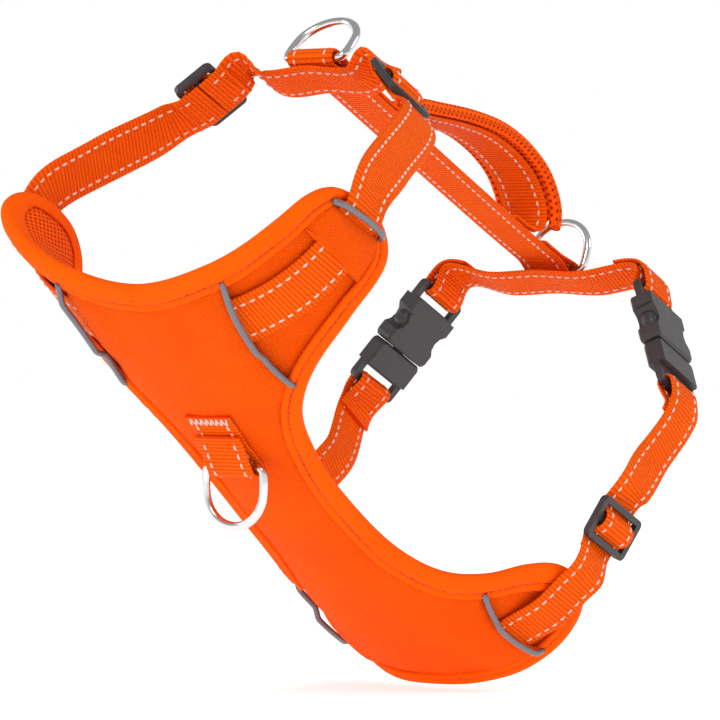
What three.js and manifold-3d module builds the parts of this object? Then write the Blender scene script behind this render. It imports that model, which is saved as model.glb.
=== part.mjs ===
// No pull harness for a medium to large dog, in millimetres.
// The harness is modelled along the dog's body: +X is the dog's left, +Y runs to the tail and +Z to the spine.
// It is then pitched nose-up, as it sits when the chest plate is shown off, so that world +Z is up.
import * as THREE from 'three';
import { mergeVertices } from 'three/addons/utils/BufferGeometryUtils.js';
import { TessellateModifier } from 'three/addons/modifiers/TessellateModifier.js';
import Module from 'manifold-3d';

const wasm = await Module();
wasm.setup();

// ---- Driving dimensions -------------------------------------------------------------------------------------
const GAP = 0.4; // clearance between two pieces that touch
const PITCH = THREE.MathUtils.degToRad(26.2); // nose-up tilt of the dog's body

const WEBBING_WIDTH = 25;
const WEBBING_THICK = 1.8;
const WIRE_RADIUS = 2; // D-ring wire
const RING_INNER_WIDTH = 28;
const RING_HEIGHT = 26; // from the straight bar's centre to the crown's centre

const GIRTH_HALF_WIDTH = 87; // chest half width behind the elbows
const CHEST_DEPTH = 98; // spine axis down to the keel at mid chest
const BACK_HEIGHT = 97; // spine axis up to the spine strap
const ARM_RADIUS = 85; // millimetres of plate outline per radian round the chest

const CLOTH_THICK = 0.8;
const FOAM_THICK = 3.4;
const LAYER_GAP = 0.95; // room between the plate's layers
const PANEL_THICK = 1;
const BINDING_WIDTH = 10;
const PIPING_RADIUS = 1.35;
const SLEEVE_INNER = 100; // sleeve's edges, measured round the chest from the keel
const SLEEVE_OUTER = 125;
const SHOULDER_SEAM = 46; // where the shoulder webbing goes under the panel
const BELLY_SEAM = 50; // where the belly webbing goes under the panel
const SHOULDER_Y = -158; // the shoulder webbing's middle
const BELLY_Y = 82; // the belly webbing's middle
const POCKET_DEPTH = 18; // webbing hidden under the panel

const FRONT_Y = -105; // front cross strap
const REAR_Y = 101; // rear cross strap and buckles

const SLIDER_WIDTH = 33;
const SLIDER_BAR = 3;
const SLIDER_SLOT = 6;
const SLIDER_THICK = 3.2;

const BUCKLE_WIDTH = 34;
const BUCKLE_THICK = 11;
const BUCKLE_WALL = 2.2;
const BUCKLE_LENGTH = 60;
const BUCKLE_BODY_LENGTH = 36;
const BUCKLE_BAR = 3;
const BUCKLE_SLOT = 6;
const BUCKLE_WAIST = 25.6; // width left between the finger scallops
const PRONG_THICK = 4;

const HANDLE_WIDTH = 29;
const HANDLE_PAD_THICK = 5;
const HANDLE_ROLL_RADIUS = 3;

// ---- Heights of the layers above the dog's skin ---------------------------------------------------------------
const FOAM_FLOOR = CLOTH_THICK + LAYER_GAP;
const BASE_FLOOR = FOAM_FLOOR + FOAM_THICK + LAYER_GAP;
const BASE_TOP = BASE_FLOOR + CLOTH_THICK;
const PANEL_FLOOR = BASE_TOP + LAYER_GAP;
const PANEL_TOP = PANEL_FLOOR + PANEL_THICK;
const ARM_WEBBING = BASE_TOP + LAYER_GAP + WEBBING_THICK / 2;
const TIP_WEBBING = PANEL_TOP + 2 * LAYER_GAP + WEBBING_THICK / 2;
const POCKET_LIFT = WEBBING_THICK + 2 * LAYER_GAP;
const FOLD_RADIUS = WEBBING_THICK / 2 + GAP + WIRE_RADIUS + 0.2;

// ---- Materials ------------------------------------------------------------------------------------------------
const COLOURS = {
  orange: { color: 0xf2560c, roughness: 0.85, metalness: 0 },
  binding: { color: 0xff6a1a, roughness: 0.7, metalness: 0 },
  mesh: { color: 0xe85010, roughness: 0.9, metalness: 0 },
  foam: { color: 0xd9d2c4, roughness: 0.95, metalness: 0 },
  reflective: { color: 0xb4b2b0, roughness: 0.45, metalness: 0.2 },
  plastic: { color: 0x2b2829, roughness: 0.45, metalness: 0 },
  chrome: { color: 0xd5d5d8, roughness: 0.12, metalness: 1 },
};

const harness = new THREE.Group();
harness.rotation.x = -PITCH;

function addPiece(name, geometry, colour, parent = harness) {
  const mesh = new THREE.Mesh(geometry, new THREE.MeshStandardMaterial(COLOURS[colour]));
  mesh.name = name;
  parent.add(mesh);
  return mesh;
}

// ---- Geometry helpers -----------------------------------------------------------------------------------------
function weld(geometry) {
  const bare = geometry.clone();
  bare.deleteAttribute('normal');
  bare.deleteAttribute('uv');
  return mergeVertices(bare, 1e-3);
}

function finish(geometry) {
  const welded = weld(geometry);
  welded.computeVertexNormals();
  return welded;
}

function toSolid(geometry) {
  const welded = weld(geometry);
  return new wasm.Manifold(
    new wasm.Mesh({
      numProp: 3,
      vertProperties: new Float32Array(welded.attributes.position.array),
      triVerts: new Uint32Array(welded.index.array),
    }),
  );
}

function fromSolid(solid) {
  const mesh = solid.getMesh();
  const geometry = new THREE.BufferGeometry();
  geometry.setAttribute('position', new THREE.BufferAttribute(mesh.vertProperties, 3));
  geometry.setIndex(new THREE.BufferAttribute(mesh.triVerts, 1));
  return geometry;
}

function cut(geometry, tools) {
  return fromSolid(tools.reduce((solid, tool) => solid.subtract(toSolid(tool)), toSolid(geometry)));
}

function join(geometries) {
  const [first, ...others] = geometries.map(toSolid);
  return fromSolid(others.reduce((solid, other) => solid.add(other), first));
}

function box(x0, x1, y0, y1, z0, z1) {
  const geometry = new THREE.BoxGeometry(x1 - x0, y1 - y0, z1 - z0);
  return geometry.translate((x0 + x1) / 2, (y0 + y1) / 2, (z0 + z1) / 2);
}

// A shape drawn in (across, along) and extruded through its thickness, turned so that across is Y and along is Z.
function slab(shape, thick, bevel = 0) {
  const geometry = new THREE.ExtrudeGeometry(shape, {
    depth: thick - 2 * bevel,
    curveSegments: 6,
    bevelEnabled: bevel > 0,
    bevelThickness: bevel,
    bevelSize: bevel,
    bevelOffset: -bevel,
    bevelSegments: 1,
  });
  geometry.translate(0, 0, bevel - thick / 2);
  const turn = new THREE.Matrix4().makeBasis(
    new THREE.Vector3(0, 1, 0),
    new THREE.Vector3(0, 0, 1),
    new THREE.Vector3(1, 0, 0),
  );
  return geometry.applyMatrix4(turn);
}

function roundedRect(width, low, high, radius) {
  const half = width / 2;
  const shape = new THREE.Shape();
  shape.moveTo(-half + radius, low);
  shape.absarc(half - radius, low + radius, radius, -Math.PI / 2, 0);
  shape.absarc(half - radius, high - radius, radius, 0, Math.PI / 2);
  shape.absarc(-half + radius, high - radius, radius, Math.PI / 2, Math.PI);
  shape.absarc(-half + radius, low + radius, radius, Math.PI, 1.5 * Math.PI);
  return shape;
}

// ---- The dog's chest ------------------------------------------------------------------------------------------
// The keel is a shallow curve from the breastbone to the belly, and the chest narrows a little towards the neck.
const keel = (y) => -CHEST_DEPTH - 0.19 * y + 0.00051 * y * y;
const halfWidth = (y) => GIRTH_HALF_WIDTH - 3 + 0.035 * y;
const middle = (y) => 4.5 + 0.045 * y;
const SHOULDER_CROWN = 60;

// A point at distance `round` from the keel, at station y, at a height above the skin.
function onChest(round, y, height) {
  const angle = round / ARM_RADIUS;
  const depth = Math.cos(angle) > 0 ? middle(y) - keel(y) : SHOULDER_CROWN;
  return new THREE.Vector3(
    (halfWidth(y) + height) * Math.sin(angle),
    y,
    middle(y) - (depth + height) * Math.cos(angle),
  );
}

// Along the keel, lying on the skin: the width axis of a strap that goes round the chest.
const alongChest = (round, y) => onChest(round, y + 1, 0).sub(onChest(round, y - 1, 0)).normalize();

// Wraps a flat piece, drawn as (round, y, height), onto the chest.
function wrap(geometry) {
  const wrapped = weld(geometry);
  const position = wrapped.attributes.position;
  for (let i = 0; i < position.count; i++) {
    const point = onChest(position.getX(i), position.getY(i), position.getZ(i));
    position.setXYZ(i, point.x, point.y, point.z);
  }
  const index = wrapped.index.array;
  for (let i = 0; i < index.length; i += 3) {
    [index[i], index[i + 1]] = [index[i + 1], index[i]];
  }
  wrapped.computeVertexNormals();
  return wrapped;
}

// ---- Chest plate ----------------------------------------------------------------------------------------------
// Half of the plate's outline, from the neck edge's middle to the rear edge's middle, as (round, y).
const HALF_OUTLINE = [
  [0, -183],
  [41, -187],
  [92, -191],
  [120, -187],
  [135, -177],
  [139, -159],
  [135, -141],
  [121, -129],
  [88, -127],
  [60, -118],
  [42, -100],
  [34, -70],
  [33, -35],
  [36, 0],
  [44, 26],
  [56, 43],
  [68, 55],
  [76, 70],
  [77, 88],
  [71, 101],
  [59, 108],
  [40, 109],
  [20, 104],
  [0, 100],
];

function plateLoop(inset, count = 72) {
  const right = HALF_OUTLINE.map(([round, y]) => new THREE.Vector3(round, y, 0));
  const left = HALF_OUTLINE.slice(1, -1).reverse().map(([round, y]) => new THREE.Vector3(-round, y, 0));
  const curve = new THREE.CatmullRomCurve3([...right, ...left], true, 'centripetal');
  const points = [];
  for (let i = 0; i < count; i++) {
    const point = curve.getPointAt(i / count);
    const tangent = curve.getTangentAt(i / count);
    points.push(new THREE.Vector2(point.x - tangent.y * inset, point.y + tangent.x * inset));
  }
  return points;
}

// Divides a flat piece finely round the chest, where it bends, and coarsely along the keel, where it hardly does.
const ALONG_SHARE = 0.3;
function divided(flat, edge, share = ALONG_SHARE) {
  const soup = flat.index ? flat.toNonIndexed() : flat;
  const fine = new TessellateModifier(edge, 24).modify(soup.scale(1, share, 1));
  return fine.scale(1, 1 / share, 1);
}

function flatLayer(shape, floor, thick, edge) {
  const geometry = new THREE.ExtrudeGeometry(shape, { depth: thick, bevelEnabled: false });
  return divided(geometry.translate(0, 0, floor), edge);
}

// A closed band: `section` points all the way round at each of `count` stations, put in place by `place`.
function closedBand(count, corners, place) {
  const geometry = weld(new THREE.TorusGeometry(2, 1, corners, count));
  const position = geometry.attributes.position;
  const whole = 2 * Math.PI;
  for (let i = 0; i < position.count; i++) {
    const out = Math.hypot(position.getX(i), position.getY(i)) - 2;
    const station = Math.round((Math.atan2(position.getY(i), position.getX(i)) / whole) * count);
    const corner = Math.round((Math.atan2(position.getZ(i), out) / whole) * corners);
    const point = place((station + count) % count, (corner + corners) % corners);
    position.setXYZ(i, point.x, point.y, point.z);
  }
  return geometry;
}

// The plate's two edges at a distance round from the keel: the neck side first, then the leg or rear side.
function edgesAt(round, inset, front) {
  const loop = plateLoop(inset, 400);
  const near = loop.filter((point) => Math.abs(point.x - round) < 2 && point.y < 0 === front);
  const along = near.map((point) => point.y);
  return [Math.min(...along), Math.max(...along)];
}

// How far the cloth above a strip of webbing lifts: full over the webbing, none a little way beside it.
function liftOver(y, centre) {
  const beside = Math.abs(y - centre) - WEBBING_WIDTH / 2 - GAP;
  return POCKET_LIFT * (1 - THREE.MathUtils.smoothstep(beside, 0, 8));
}

const LAYER_EDGE = 13;
const insideBinding = PANEL_THICK + LAYER_GAP;
const besideBinding = BINDING_WIDTH + GAP;
addPiece('chest_lining', wrap(flatLayer(new THREE.Shape(plateLoop(insideBinding)), 0, CLOTH_THICK, LAYER_EDGE)), 'mesh');
addPiece('chest_foam', wrap(flatLayer(new THREE.Shape(plateLoop(insideBinding)), FOAM_FLOOR, FOAM_THICK, LAYER_EDGE + 4)), 'foam');
addPiece('chest_base', wrap(flatLayer(new THREE.Shape(plateLoop(insideBinding)), BASE_FLOOR, CLOTH_THICK, LAYER_EDGE)), 'orange');

// The tape's section wraps the plate's edge: each corner is an inset from the edge and a height.
function bindingTape() {
  const low = -LAYER_GAP - PANEL_THICK;
  const section = [
    [0, low],
    [0, PANEL_TOP],
    [BINDING_WIDTH, PANEL_TOP],
    [BINDING_WIDTH, PANEL_FLOOR],
    [PANEL_THICK, PANEL_FLOOR],
    [PANEL_THICK, -LAYER_GAP],
    [BINDING_WIDTH, -LAYER_GAP],
    [BINDING_WIDTH, low],
  ];
  const loops = section.map(([inset]) => plateLoop(inset));
  const place = (station, corner) => {
    const { x, y } = loops[corner][station];
    return new THREE.Vector3(x, y, section[corner][1]);
  };
  return wrap(closedBand(loops[0].length, section.length, place));
}
addPiece('chest_binding', bindingTape(), 'binding');

// The outer panel stops at the four seams, and lifts over the webbing that goes under it there.
function chestPanel() {
  const shoulderSeam = SHOULDER_SEAM - PIPING_RADIUS - GAP;
  const bellySeam = BELLY_SEAM - PIPING_RADIUS - GAP;
  const far = 500;
  const full = new THREE.ExtrudeGeometry(new THREE.Shape(plateLoop(besideBinding)), {
    depth: PANEL_THICK,
    bevelEnabled: false,
  });
  const between = toSolid(box(-shoulderSeam, shoulderSeam, -far, 0, -far, far)).add(
    toSolid(box(-bellySeam, bellySeam, 0, far, -far, far)),
  );
  const flat = fromSolid(toSolid(full).intersect(between)).translate(0, 0, PANEL_FLOOR);
  const geometry = weld(divided(flat, LAYER_EDGE - 2, 0.6));
  const position = geometry.attributes.position;
  for (let i = 0; i < position.count; i++) {
    const front = position.getY(i) < 0;
    const seam = front ? SHOULDER_SEAM : BELLY_SEAM;
    const reach = Math.abs(position.getX(i)) - (seam - POCKET_DEPTH - 12);
    const share = THREE.MathUtils.smoothstep(reach, 0, 8);
    const lift = liftOver(position.getY(i), front ? SHOULDER_Y : BELLY_Y);
    position.setZ(i, position.getZ(i) + share * lift);
  }
  return wrap(geometry);
}
addPiece('chest_panel', chestPanel(), 'orange');

// ---- Tubes along a path ---------------------------------------------------------------------------------------
function tube(points, radius, steps, sides = 8) {
  const section = new THREE.Shape(
    new THREE.EllipseCurve(0, 0, radius, radius).getPoints(sides).slice(0, sides),
  );
  const extrudePath = new THREE.CatmullRomCurve3(points);
  return finish(new THREE.ExtrudeGeometry(section, { steps, extrudePath, bevelEnabled: false }));
}

function piping(side, round, centre, front) {
  const [low, high] = edgesAt(round, 1, front);
  const points = [];
  for (let i = 0; i <= 8; i++) {
    const y = low + ((high - low) * i) / 8;
    const height = PANEL_TOP + GAP + PIPING_RADIUS + 0.8 * liftOver(y, centre);
    points.push(onChest(side * round, y, height));
  }
  return tube(points, PIPING_RADIUS, 12, 6);
}

function sleeve(side) {
  const across = 5;
  const along = 14;
  const geometry = weld(new THREE.BoxGeometry(1, 1, 1, across, along, 1));
  const position = geometry.attributes.position;
  for (let i = 0; i < position.count; i++) {
    const share = position.getX(i) + 0.5;
    const round = SLEEVE_INNER + (SLEEVE_OUTER - PIPING_RADIUS - GAP - SLEEVE_INNER) * share;
    const [low, high] = edgesAt(round, besideBinding + LAYER_GAP, true);
    const y = low + (high - low) * (position.getY(i) + 0.5);
    const height = PANEL_FLOOR + PANEL_THICK * (position.getZ(i) + 0.5) + liftOver(y, SHOULDER_Y);
    position.setXYZ(i, side * round, y, height);
  }
  if (side < 0) {
    const index = geometry.index.array;
    for (let i = 0; i < index.length; i += 3) {
      [index[i], index[i + 1]] = [index[i + 1], index[i]];
    }
  }
  return wrap(geometry);
}

// ---- Webbing --------------------------------------------------------------------------------------------------
// A strap is a list of stations along its middle. Each has its place, its outward normal and its width axis.
function stations(points, widthAxis, step = 9) {
  const curve = new THREE.CatmullRomCurve3(points, false, 'centripetal');
  const axes = Array.isArray(widthAxis) ? widthAxis : points.map(() => widthAxis);
  const axisCurve = new THREE.CatmullRomCurve3(axes);
  const count = Math.max(3, Math.round(curve.getLength() / step));
  const list = [];
  for (let i = 0; i <= count; i++) {
    const along = curve.getTangentAt(i / count);
    const axis = axisCurve.getPoint(curve.getUtoTmapping(i / count));
    const width = axis.clone().addScaledVector(along, -axis.dot(along)).normalize();
    const normal = new THREE.Vector3().crossVectors(width, along);
    list.push({ at: curve.getPointAt(i / count), along, width, normal, reach: curve.getLength() * (i / count) });
  }
  return list;
}

const shifted = (station, offset) => ({
  ...station,
  at: station.at.clone().addScaledVector(station.normal, offset),
});

// Folds the strap's end round a bar at its last station. The second layer goes back for `back` millimetres on the
// side of `layer` (+1 or -1 along the normal).
const FOLD_TAPER = 16;
function folded(list, back, layer) {
  const length = list.at(-1).reach;
  const spread = (station) => 1 - THREE.MathUtils.smoothstep(length - station.reach, 0, FOLD_TAPER);
  const main = list.map((station) => shifted(station, -layer * FOLD_RADIUS * spread(station)));
  const last = list.at(-1);
  const turn = [];
  for (let i = 1; i < 6; i++) {
    const angle = (Math.PI * i) / 6;
    const normal = last.normal.clone().multiplyScalar(Math.cos(angle));
    normal.addScaledVector(last.along, -layer * Math.sin(angle));
    const at = last.at.clone().addScaledVector(normal, -layer * FOLD_RADIUS);
    turn.push({ ...last, at, normal });
  }
  const under = WEBBING_THICK + GAP;
  const returning = list
    .filter((station) => length - station.reach <= back)
    .reverse()
    .map((station) => {
      const offset = FOLD_RADIUS * spread(station) + under * (1 - spread(station));
      return { ...shifted(station, layer * offset), normal: station.normal.clone().negate() };
    });
  return [...main, ...turn, ...returning];
}

const reversed = (list) => {
  const length = list.at(-1).reach;
  return [...list].reverse().map((station) => ({
    ...station,
    along: station.along.clone().negate(),
    normal: station.normal.clone(),
    reach: length - station.reach,
  }));
};

// A strap folded round a bar at both ends. The second layers go to the sides given by startLayer and endLayer.
function foldedBothEnds(list, back, startLayer, endLayer) {
  const half = Math.floor(list.length / 2);
  const start = folded(reversed(list.slice(0, half + 1)), back, startLayer);
  const rest = list.slice(half);
  const offset = rest[0].reach;
  const end = folded(rest.map((station) => ({ ...station, reach: station.reach - offset })), back, endLayer);
  return [...[...start].reverse(), ...end.slice(1)];
}

function ribbon(list, width = WEBBING_WIDTH, thick = WEBBING_THICK) {
  const count = list.length - 1;
  const geometry = weld(new THREE.BoxGeometry(1, 1, count, 1, 1, count));
  const position = geometry.attributes.position;
  for (let i = 0; i < position.count; i++) {
    const station = list[Math.round(position.getZ(i) + count / 2)];
    const point = station.at.clone();
    point.addScaledVector(station.width, position.getX(i) * width);
    point.addScaledVector(station.normal, -position.getY(i) * thick);
    position.setXYZ(i, point.x, point.y, point.z);
  }
  return finish(geometry);
}

const AXIS_X = new THREE.Vector3(1, 0, 0);
const AXIS_Y = new THREE.Vector3(0, 1, 0);
const mirrored = (side, x, y, z) => new THREE.Vector3(side * x, y, z);

// ---- Sliders --------------------------------------------------------------------------------------------------
const SLIDER_LENGTH = 3 * SLIDER_BAR + 2 * SLIDER_SLOT;
const SLIDER_REACH = SLIDER_SLOT + SLIDER_BAR; // from the middle bar's centre to an outer bar's centre

// A slot through the thickness for one strap, `high` millimetres along the strap.
function strapSlot(centre, high) {
  const half = WEBBING_WIDTH / 2 + 2 * GAP;
  return box(-BUCKLE_THICK, BUCKLE_THICK, -half, half, centre - high / 2, centre + high / 2);
}

function sliderFrame() {
  const outer = slab(roundedRect(SLIDER_WIDTH, -SLIDER_LENGTH / 2, SLIDER_LENGTH / 2, SLIDER_BAR), SLIDER_THICK);
  const centre = (SLIDER_BAR + SLIDER_SLOT) / 2;
  return finish(cut(outer, [strapSlot(-centre, SLIDER_SLOT), strapSlot(centre, SLIDER_SLOT)]));
}

// ---- D-rings --------------------------------------------------------------------------------------------------
// The ring's straight bar lies along X at the origin, and the crown points along +Y.
function dRing() {
  const half = RING_INNER_WIDTH / 2 + WIRE_RADIUS;
  const corner = 2.5;
  const outline = new THREE.Path();
  outline.moveTo(0, 0);
  outline.lineTo(half - corner, 0);
  outline.absarc(half - corner, corner, corner, -Math.PI / 2, 0);
  outline.absarc(0, RING_HEIGHT - half, half, 0, Math.PI);
  outline.absarc(-half + corner, corner, corner, Math.PI, 1.5 * Math.PI);
  outline.closePath();
  const count = 26;
  const sides = 6;
  const points = outline.getSpacedPoints(count).slice(0, count);
  const place = (station, corner) => {
    const before = points[(station + count - 1) % count];
    const after = points[(station + 1) % count];
    const tangent = after.clone().sub(before).normalize();
    const angle = (corner / sides) * 2 * Math.PI;
    const out = Math.cos(angle) * WIRE_RADIUS;
    const x = points[station].x + tangent.y * out;
    const y = points[station].y - tangent.x * out;
    return new THREE.Vector3(x, y, Math.sin(angle) * WIRE_RADIUS);
  };
  return finish(closedBand(count, sides, place));
}

// Hangs a ring on a bar centre, its crown pointing along `lean` degrees from +Y towards +Z.
function hangRing(name, at, lean) {
  const group = new THREE.Group();
  group.position.copy(at);
  group.rotation.x = THREE.MathUtils.degToRad(lean);
  harness.add(group);
  addPiece(name, dRing(), 'chrome', group);
}

// ---- Side-release buckle --------------------------------------------------------------------------------------
// Length along Z with the body on top, width along Y, thickness along X, and the middle of the closed buckle at 0.
const BUCKLE_TOP = BUCKLE_LENGTH / 2;
const MOUTH = BUCKLE_TOP - BUCKLE_BODY_LENGTH;
const BODY_BAR = BUCKLE_TOP - BUCKLE_BAR / 2;
const PLUG_BAR = -BODY_BAR;
const SOCKET_WIDTH = BUCKLE_WAIST - GAP;
const SOCKET_THICK = BUCKLE_THICK - 2 * BUCKLE_WALL;
const SOCKET_TOP = BUCKLE_TOP - BUCKLE_BAR - BUCKLE_SLOT - BUCKLE_WALL - 1;
const PAD_LOW = MOUTH + 8;
const PAD_HIGH = PAD_LOW + 11;
const PRONG_OUTER = SOCKET_WIDTH / 2 - GAP;
const PRONG_PIVOT_Y = 9.5;
const PRONG_PIVOT_Z = MOUTH + 1;

function buckleBody() {
  const outer = slab(roundedRect(BUCKLE_WIDTH, MOUTH, BUCKLE_TOP, 3), BUCKLE_THICK, 1.2);
  const half = SOCKET_WIDTH / 2;
  const socket = box(-SOCKET_THICK / 2, SOCKET_THICK / 2, -half, half, MOUTH - 5, SOCKET_TOP);
  const scallops = [-1, 1].map((side) => {
    const radius = (PAD_HIGH - PAD_LOW) / 2 + 1.2;
    const shape = new THREE.Shape();
    shape.absarc(side * (BUCKLE_WAIST / 2 + radius * 0.92), (PAD_LOW + PAD_HIGH) / 2, radius, 0, 2 * Math.PI);
    return slab(shape, BUCKLE_THICK * 2);
  });
  const thin = [-1, 1].map((face) => {
    const low = BODY_BAR - BUCKLE_BAR / 2 - BUCKLE_SLOT - 1;
    const x = (face * SLIDER_THICK) / 2;
    return box(Math.min(x, face * 20), Math.max(x, face * 20), -20, 20, low, BUCKLE_TOP + 1);
  });
  return finish(cut(outer, [socket, ...scallops, ...thin, strapSlot(BODY_BAR - (BUCKLE_BAR + BUCKLE_SLOT) / 2, BUCKLE_SLOT)]));
}

function bucklePlug() {
  const shoulder = MOUTH - GAP;
  const base = slab(roundedRect(BUCKLE_WIDTH, -BUCKLE_TOP, shoulder, 3), BUCKLE_THICK - 2, 1.2);
  const tongueHalf = 3;
  const tongue = box(-1.5, 1.5, -tongueHalf, tongueHalf, shoulder - 1, SOCKET_TOP - 3);
  const thin = [-1, 1].map((face) => {
    const high = PLUG_BAR + BUCKLE_BAR / 2 + BUCKLE_SLOT + 1;
    const x = (face * SLIDER_THICK) / 2;
    return box(Math.min(x, face * 20), Math.max(x, face * 20), -20, 20, -BUCKLE_TOP - 1, high);
  });
  const frame = cut(base, [...thin, strapSlot(PLUG_BAR + (BUCKLE_BAR + BUCKLE_SLOT) / 2, BUCKLE_SLOT)]);
  return finish(join([frame, tongue]));
}

function buckleProng(side) {
  const root = PRONG_PIVOT_Z - 0.6;
  const shape = new THREE.Shape();
  shape.moveTo(side * (PRONG_PIVOT_Y - 1.4), root);
  shape.lineTo(side * (PRONG_PIVOT_Y + 1.2), root);
  shape.lineTo(side * (PRONG_PIVOT_Y + 1.6), PAD_LOW);
  shape.lineTo(side * PRONG_OUTER, PAD_LOW + 1.5);
  shape.lineTo(side * PRONG_OUTER, PAD_HIGH - 3);
  shape.lineTo(side * (PRONG_PIVOT_Y + 0.5), PAD_HIGH);
  shape.lineTo(side * (PRONG_PIVOT_Y - 1.6), PAD_HIGH - 1);
  return finish(slab(shape, PRONG_THICK));
}

// ---- Where the strap ends meet their bars ----------------------------------------------------------------------
// A fitting's frame: its centre, and its lean about Y so that its own +Z points up along the strap.
function fitting(side, x, y, z, lean) {
  const group = new THREE.Group();
  group.position.copy(mirrored(side, x, y, z));
  group.rotation.y = side * lean;
  harness.add(group);
  return group;
}

function barOf(group, along) {
  group.updateMatrix();
  return new THREE.Vector3(0, 0, along).applyMatrix4(group.matrix);
}

// The strap's last two points before a bar, so that it meets the fitting straight.
const APPROACH = 12;
const towards = (group, along, from) => [barOf(group, along + from * APPROACH), barOf(group, along)];

const SPINE_FRONT = new THREE.Vector3(0, -112, BACK_HEIGHT);
const SPINE_REAR = new THREE.Vector3(0, 106, BACK_HEIGHT + 1);
const CROSS_DROP = 7; // the cross straps run this far below the spine strap

// A strap's stations from under the panel, over one arm of the plate and on through the free points.
function strapFromPlate(side, y, places, freePoints) {
  const onPlate = places.map(([round, height]) => onChest(side * round, y, height));
  const axes = places.map(([round]) => alongChest(side * round, y));
  return stations([...onPlate, ...freePoints], [...axes, ...freePoints.map(() => AXIS_Y)]);
}

const frontBars = [];
const rearBars = [];
for (const [side, hand] of [[-1, 'right'], [1, 'left']]) {
  addPiece(`shoulder_sleeve_${hand}`, sleeve(side), 'orange');
  addPiece(`piping_shoulder_${hand}`, piping(side, SHOULDER_SEAM, SHOULDER_Y, true), 'reflective');
  addPiece(`piping_sleeve_${hand}`, piping(side, SLEEVE_OUTER, SHOULDER_Y, true), 'reflective');
  addPiece(`piping_belly_${hand}`, piping(side, BELLY_SEAM, BELLY_Y, false), 'reflective');

  const neckSlider = fitting(side, 53, FRONT_Y - 7, 80, -0.82);
  addPiece(`neck_slider_${hand}`, sliderFrame(), 'plastic', neckSlider);
  frontBars.push(towards(neckSlider, SLIDER_REACH, 1));
  const neckRun = strapFromPlate(
    side,
    SHOULDER_Y,
    [
      [SHOULDER_SEAM - POCKET_DEPTH, ARM_WEBBING],
      [SHOULDER_SEAM, ARM_WEBBING],
      [70, ARM_WEBBING],
      [SLEEVE_INNER, ARM_WEBBING],
      [SLEEVE_OUTER - 3, ARM_WEBBING],
      [128, TIP_WEBBING + 0.3],
      [142, TIP_WEBBING + 0.3],
    ],
    [mirrored(side, 83, -140, 30), ...towards(neckSlider, -SLIDER_REACH, -1)],
  );
  addPiece(`neck_strap_${hand}`, ribbon(folded(neckRun, 34, -side)), 'orange');

  const buckle = fitting(side, 75, REAR_Y + 3, 59, -0.5);
  addPiece(`buckle_body_${hand}`, buckleBody(), 'plastic', buckle);
  rearBars.push(towards(buckle, BODY_BAR, 1));
  addPiece(`buckle_plug_${hand}`, bucklePlug(), 'plastic', buckle);
  addPiece(`buckle_prong_front_${hand}`, buckleProng(-1), 'plastic', buckle);
  addPiece(`buckle_prong_rear_${hand}`, buckleProng(1), 'plastic', buckle);

  const girthSlider = fitting(side, 84, REAR_Y - 13, -43, 0.3);
  addPiece(`girth_slider_${hand}`, sliderFrame(), 'plastic', girthSlider);
  const girthRun = stations(
    [
      ...towards(girthSlider, SLIDER_REACH, 1).reverse(),
      mirrored(side, 90, REAR_Y - 4, -4),
      ...towards(buckle, PLUG_BAR, -1),
    ],
    AXIS_Y,
  );
  addPiece(`girth_strap_${hand}`, ribbon(foldedBothEnds(girthRun, 20, -side, -side)), 'orange');

  const bellyRun = strapFromPlate(
    side,
    BELLY_Y,
    [
      [BELLY_SEAM - POCKET_DEPTH, ARM_WEBBING],
      [BELLY_SEAM, ARM_WEBBING],
      [62, TIP_WEBBING],
      [73, TIP_WEBBING + 0.4],
      [80, TIP_WEBBING + 0.9],
    ],
    towards(girthSlider, -SLIDER_REACH, -1),
  );
  addPiece(`belly_strap_${hand}`, ribbon(folded(bellyRun, 16, -side)), 'orange');
}

// ---- Cross straps, spine strap and rings ------------------------------------------------------------------------
function crossStrap(name, bars, middleY, middleZ) {
  const run = stations(
    [
      ...bars[0].reverse(),
      new THREE.Vector3(-WEBBING_WIDTH, middleY, middleZ - 1),
      new THREE.Vector3(0, middleY, middleZ),
      new THREE.Vector3(WEBBING_WIDTH, middleY, middleZ - 1),
      ...bars[1],
    ],
    AXIS_Y,
    8,
  );
  addPiece(name, ribbon(foldedBothEnds(run, 26, -1, -1)), 'orange');
}
crossStrap('front_cross_strap', frontBars, FRONT_Y, BACK_HEIGHT - CROSS_DROP);
crossStrap('rear_cross_strap', rearBars, REAR_Y, BACK_HEIGHT - CROSS_DROP);

const spineRun = stations(
  [SPINE_FRONT, new THREE.Vector3(0, FRONT_Y + 30, BACK_HEIGHT), new THREE.Vector3(0, 60, BACK_HEIGHT), SPINE_REAR],
  AXIS_X,
);
addPiece('spine_strap', ribbon(foldedBothEnds(spineRun, 30, 1, 1)), 'orange');
hangRing('front_ring', SPINE_FRONT, 68);
hangRing('rear_ring', SPINE_REAR, 92);

// ---- Chest tab ----------------------------------------------------------------------------------------------------
const TAB_BAR = onChest(0, -84, PANEL_TOP + GAP + WEBBING_THICK / 2 + FOLD_RADIUS);
const tabRun = stations(
  [
    onChest(0, -112, PANEL_TOP + GAP + WEBBING_THICK / 2),
    onChest(0, -100, PANEL_TOP + GAP + WEBBING_THICK / 2),
    TAB_BAR,
  ],
  AXIS_X,
  4,
);
addPiece('chest_tab', ribbon(folded(tabRun, 20, -1)), 'orange');
hangRing('chest_ring', TAB_BAR, -64);

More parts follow.
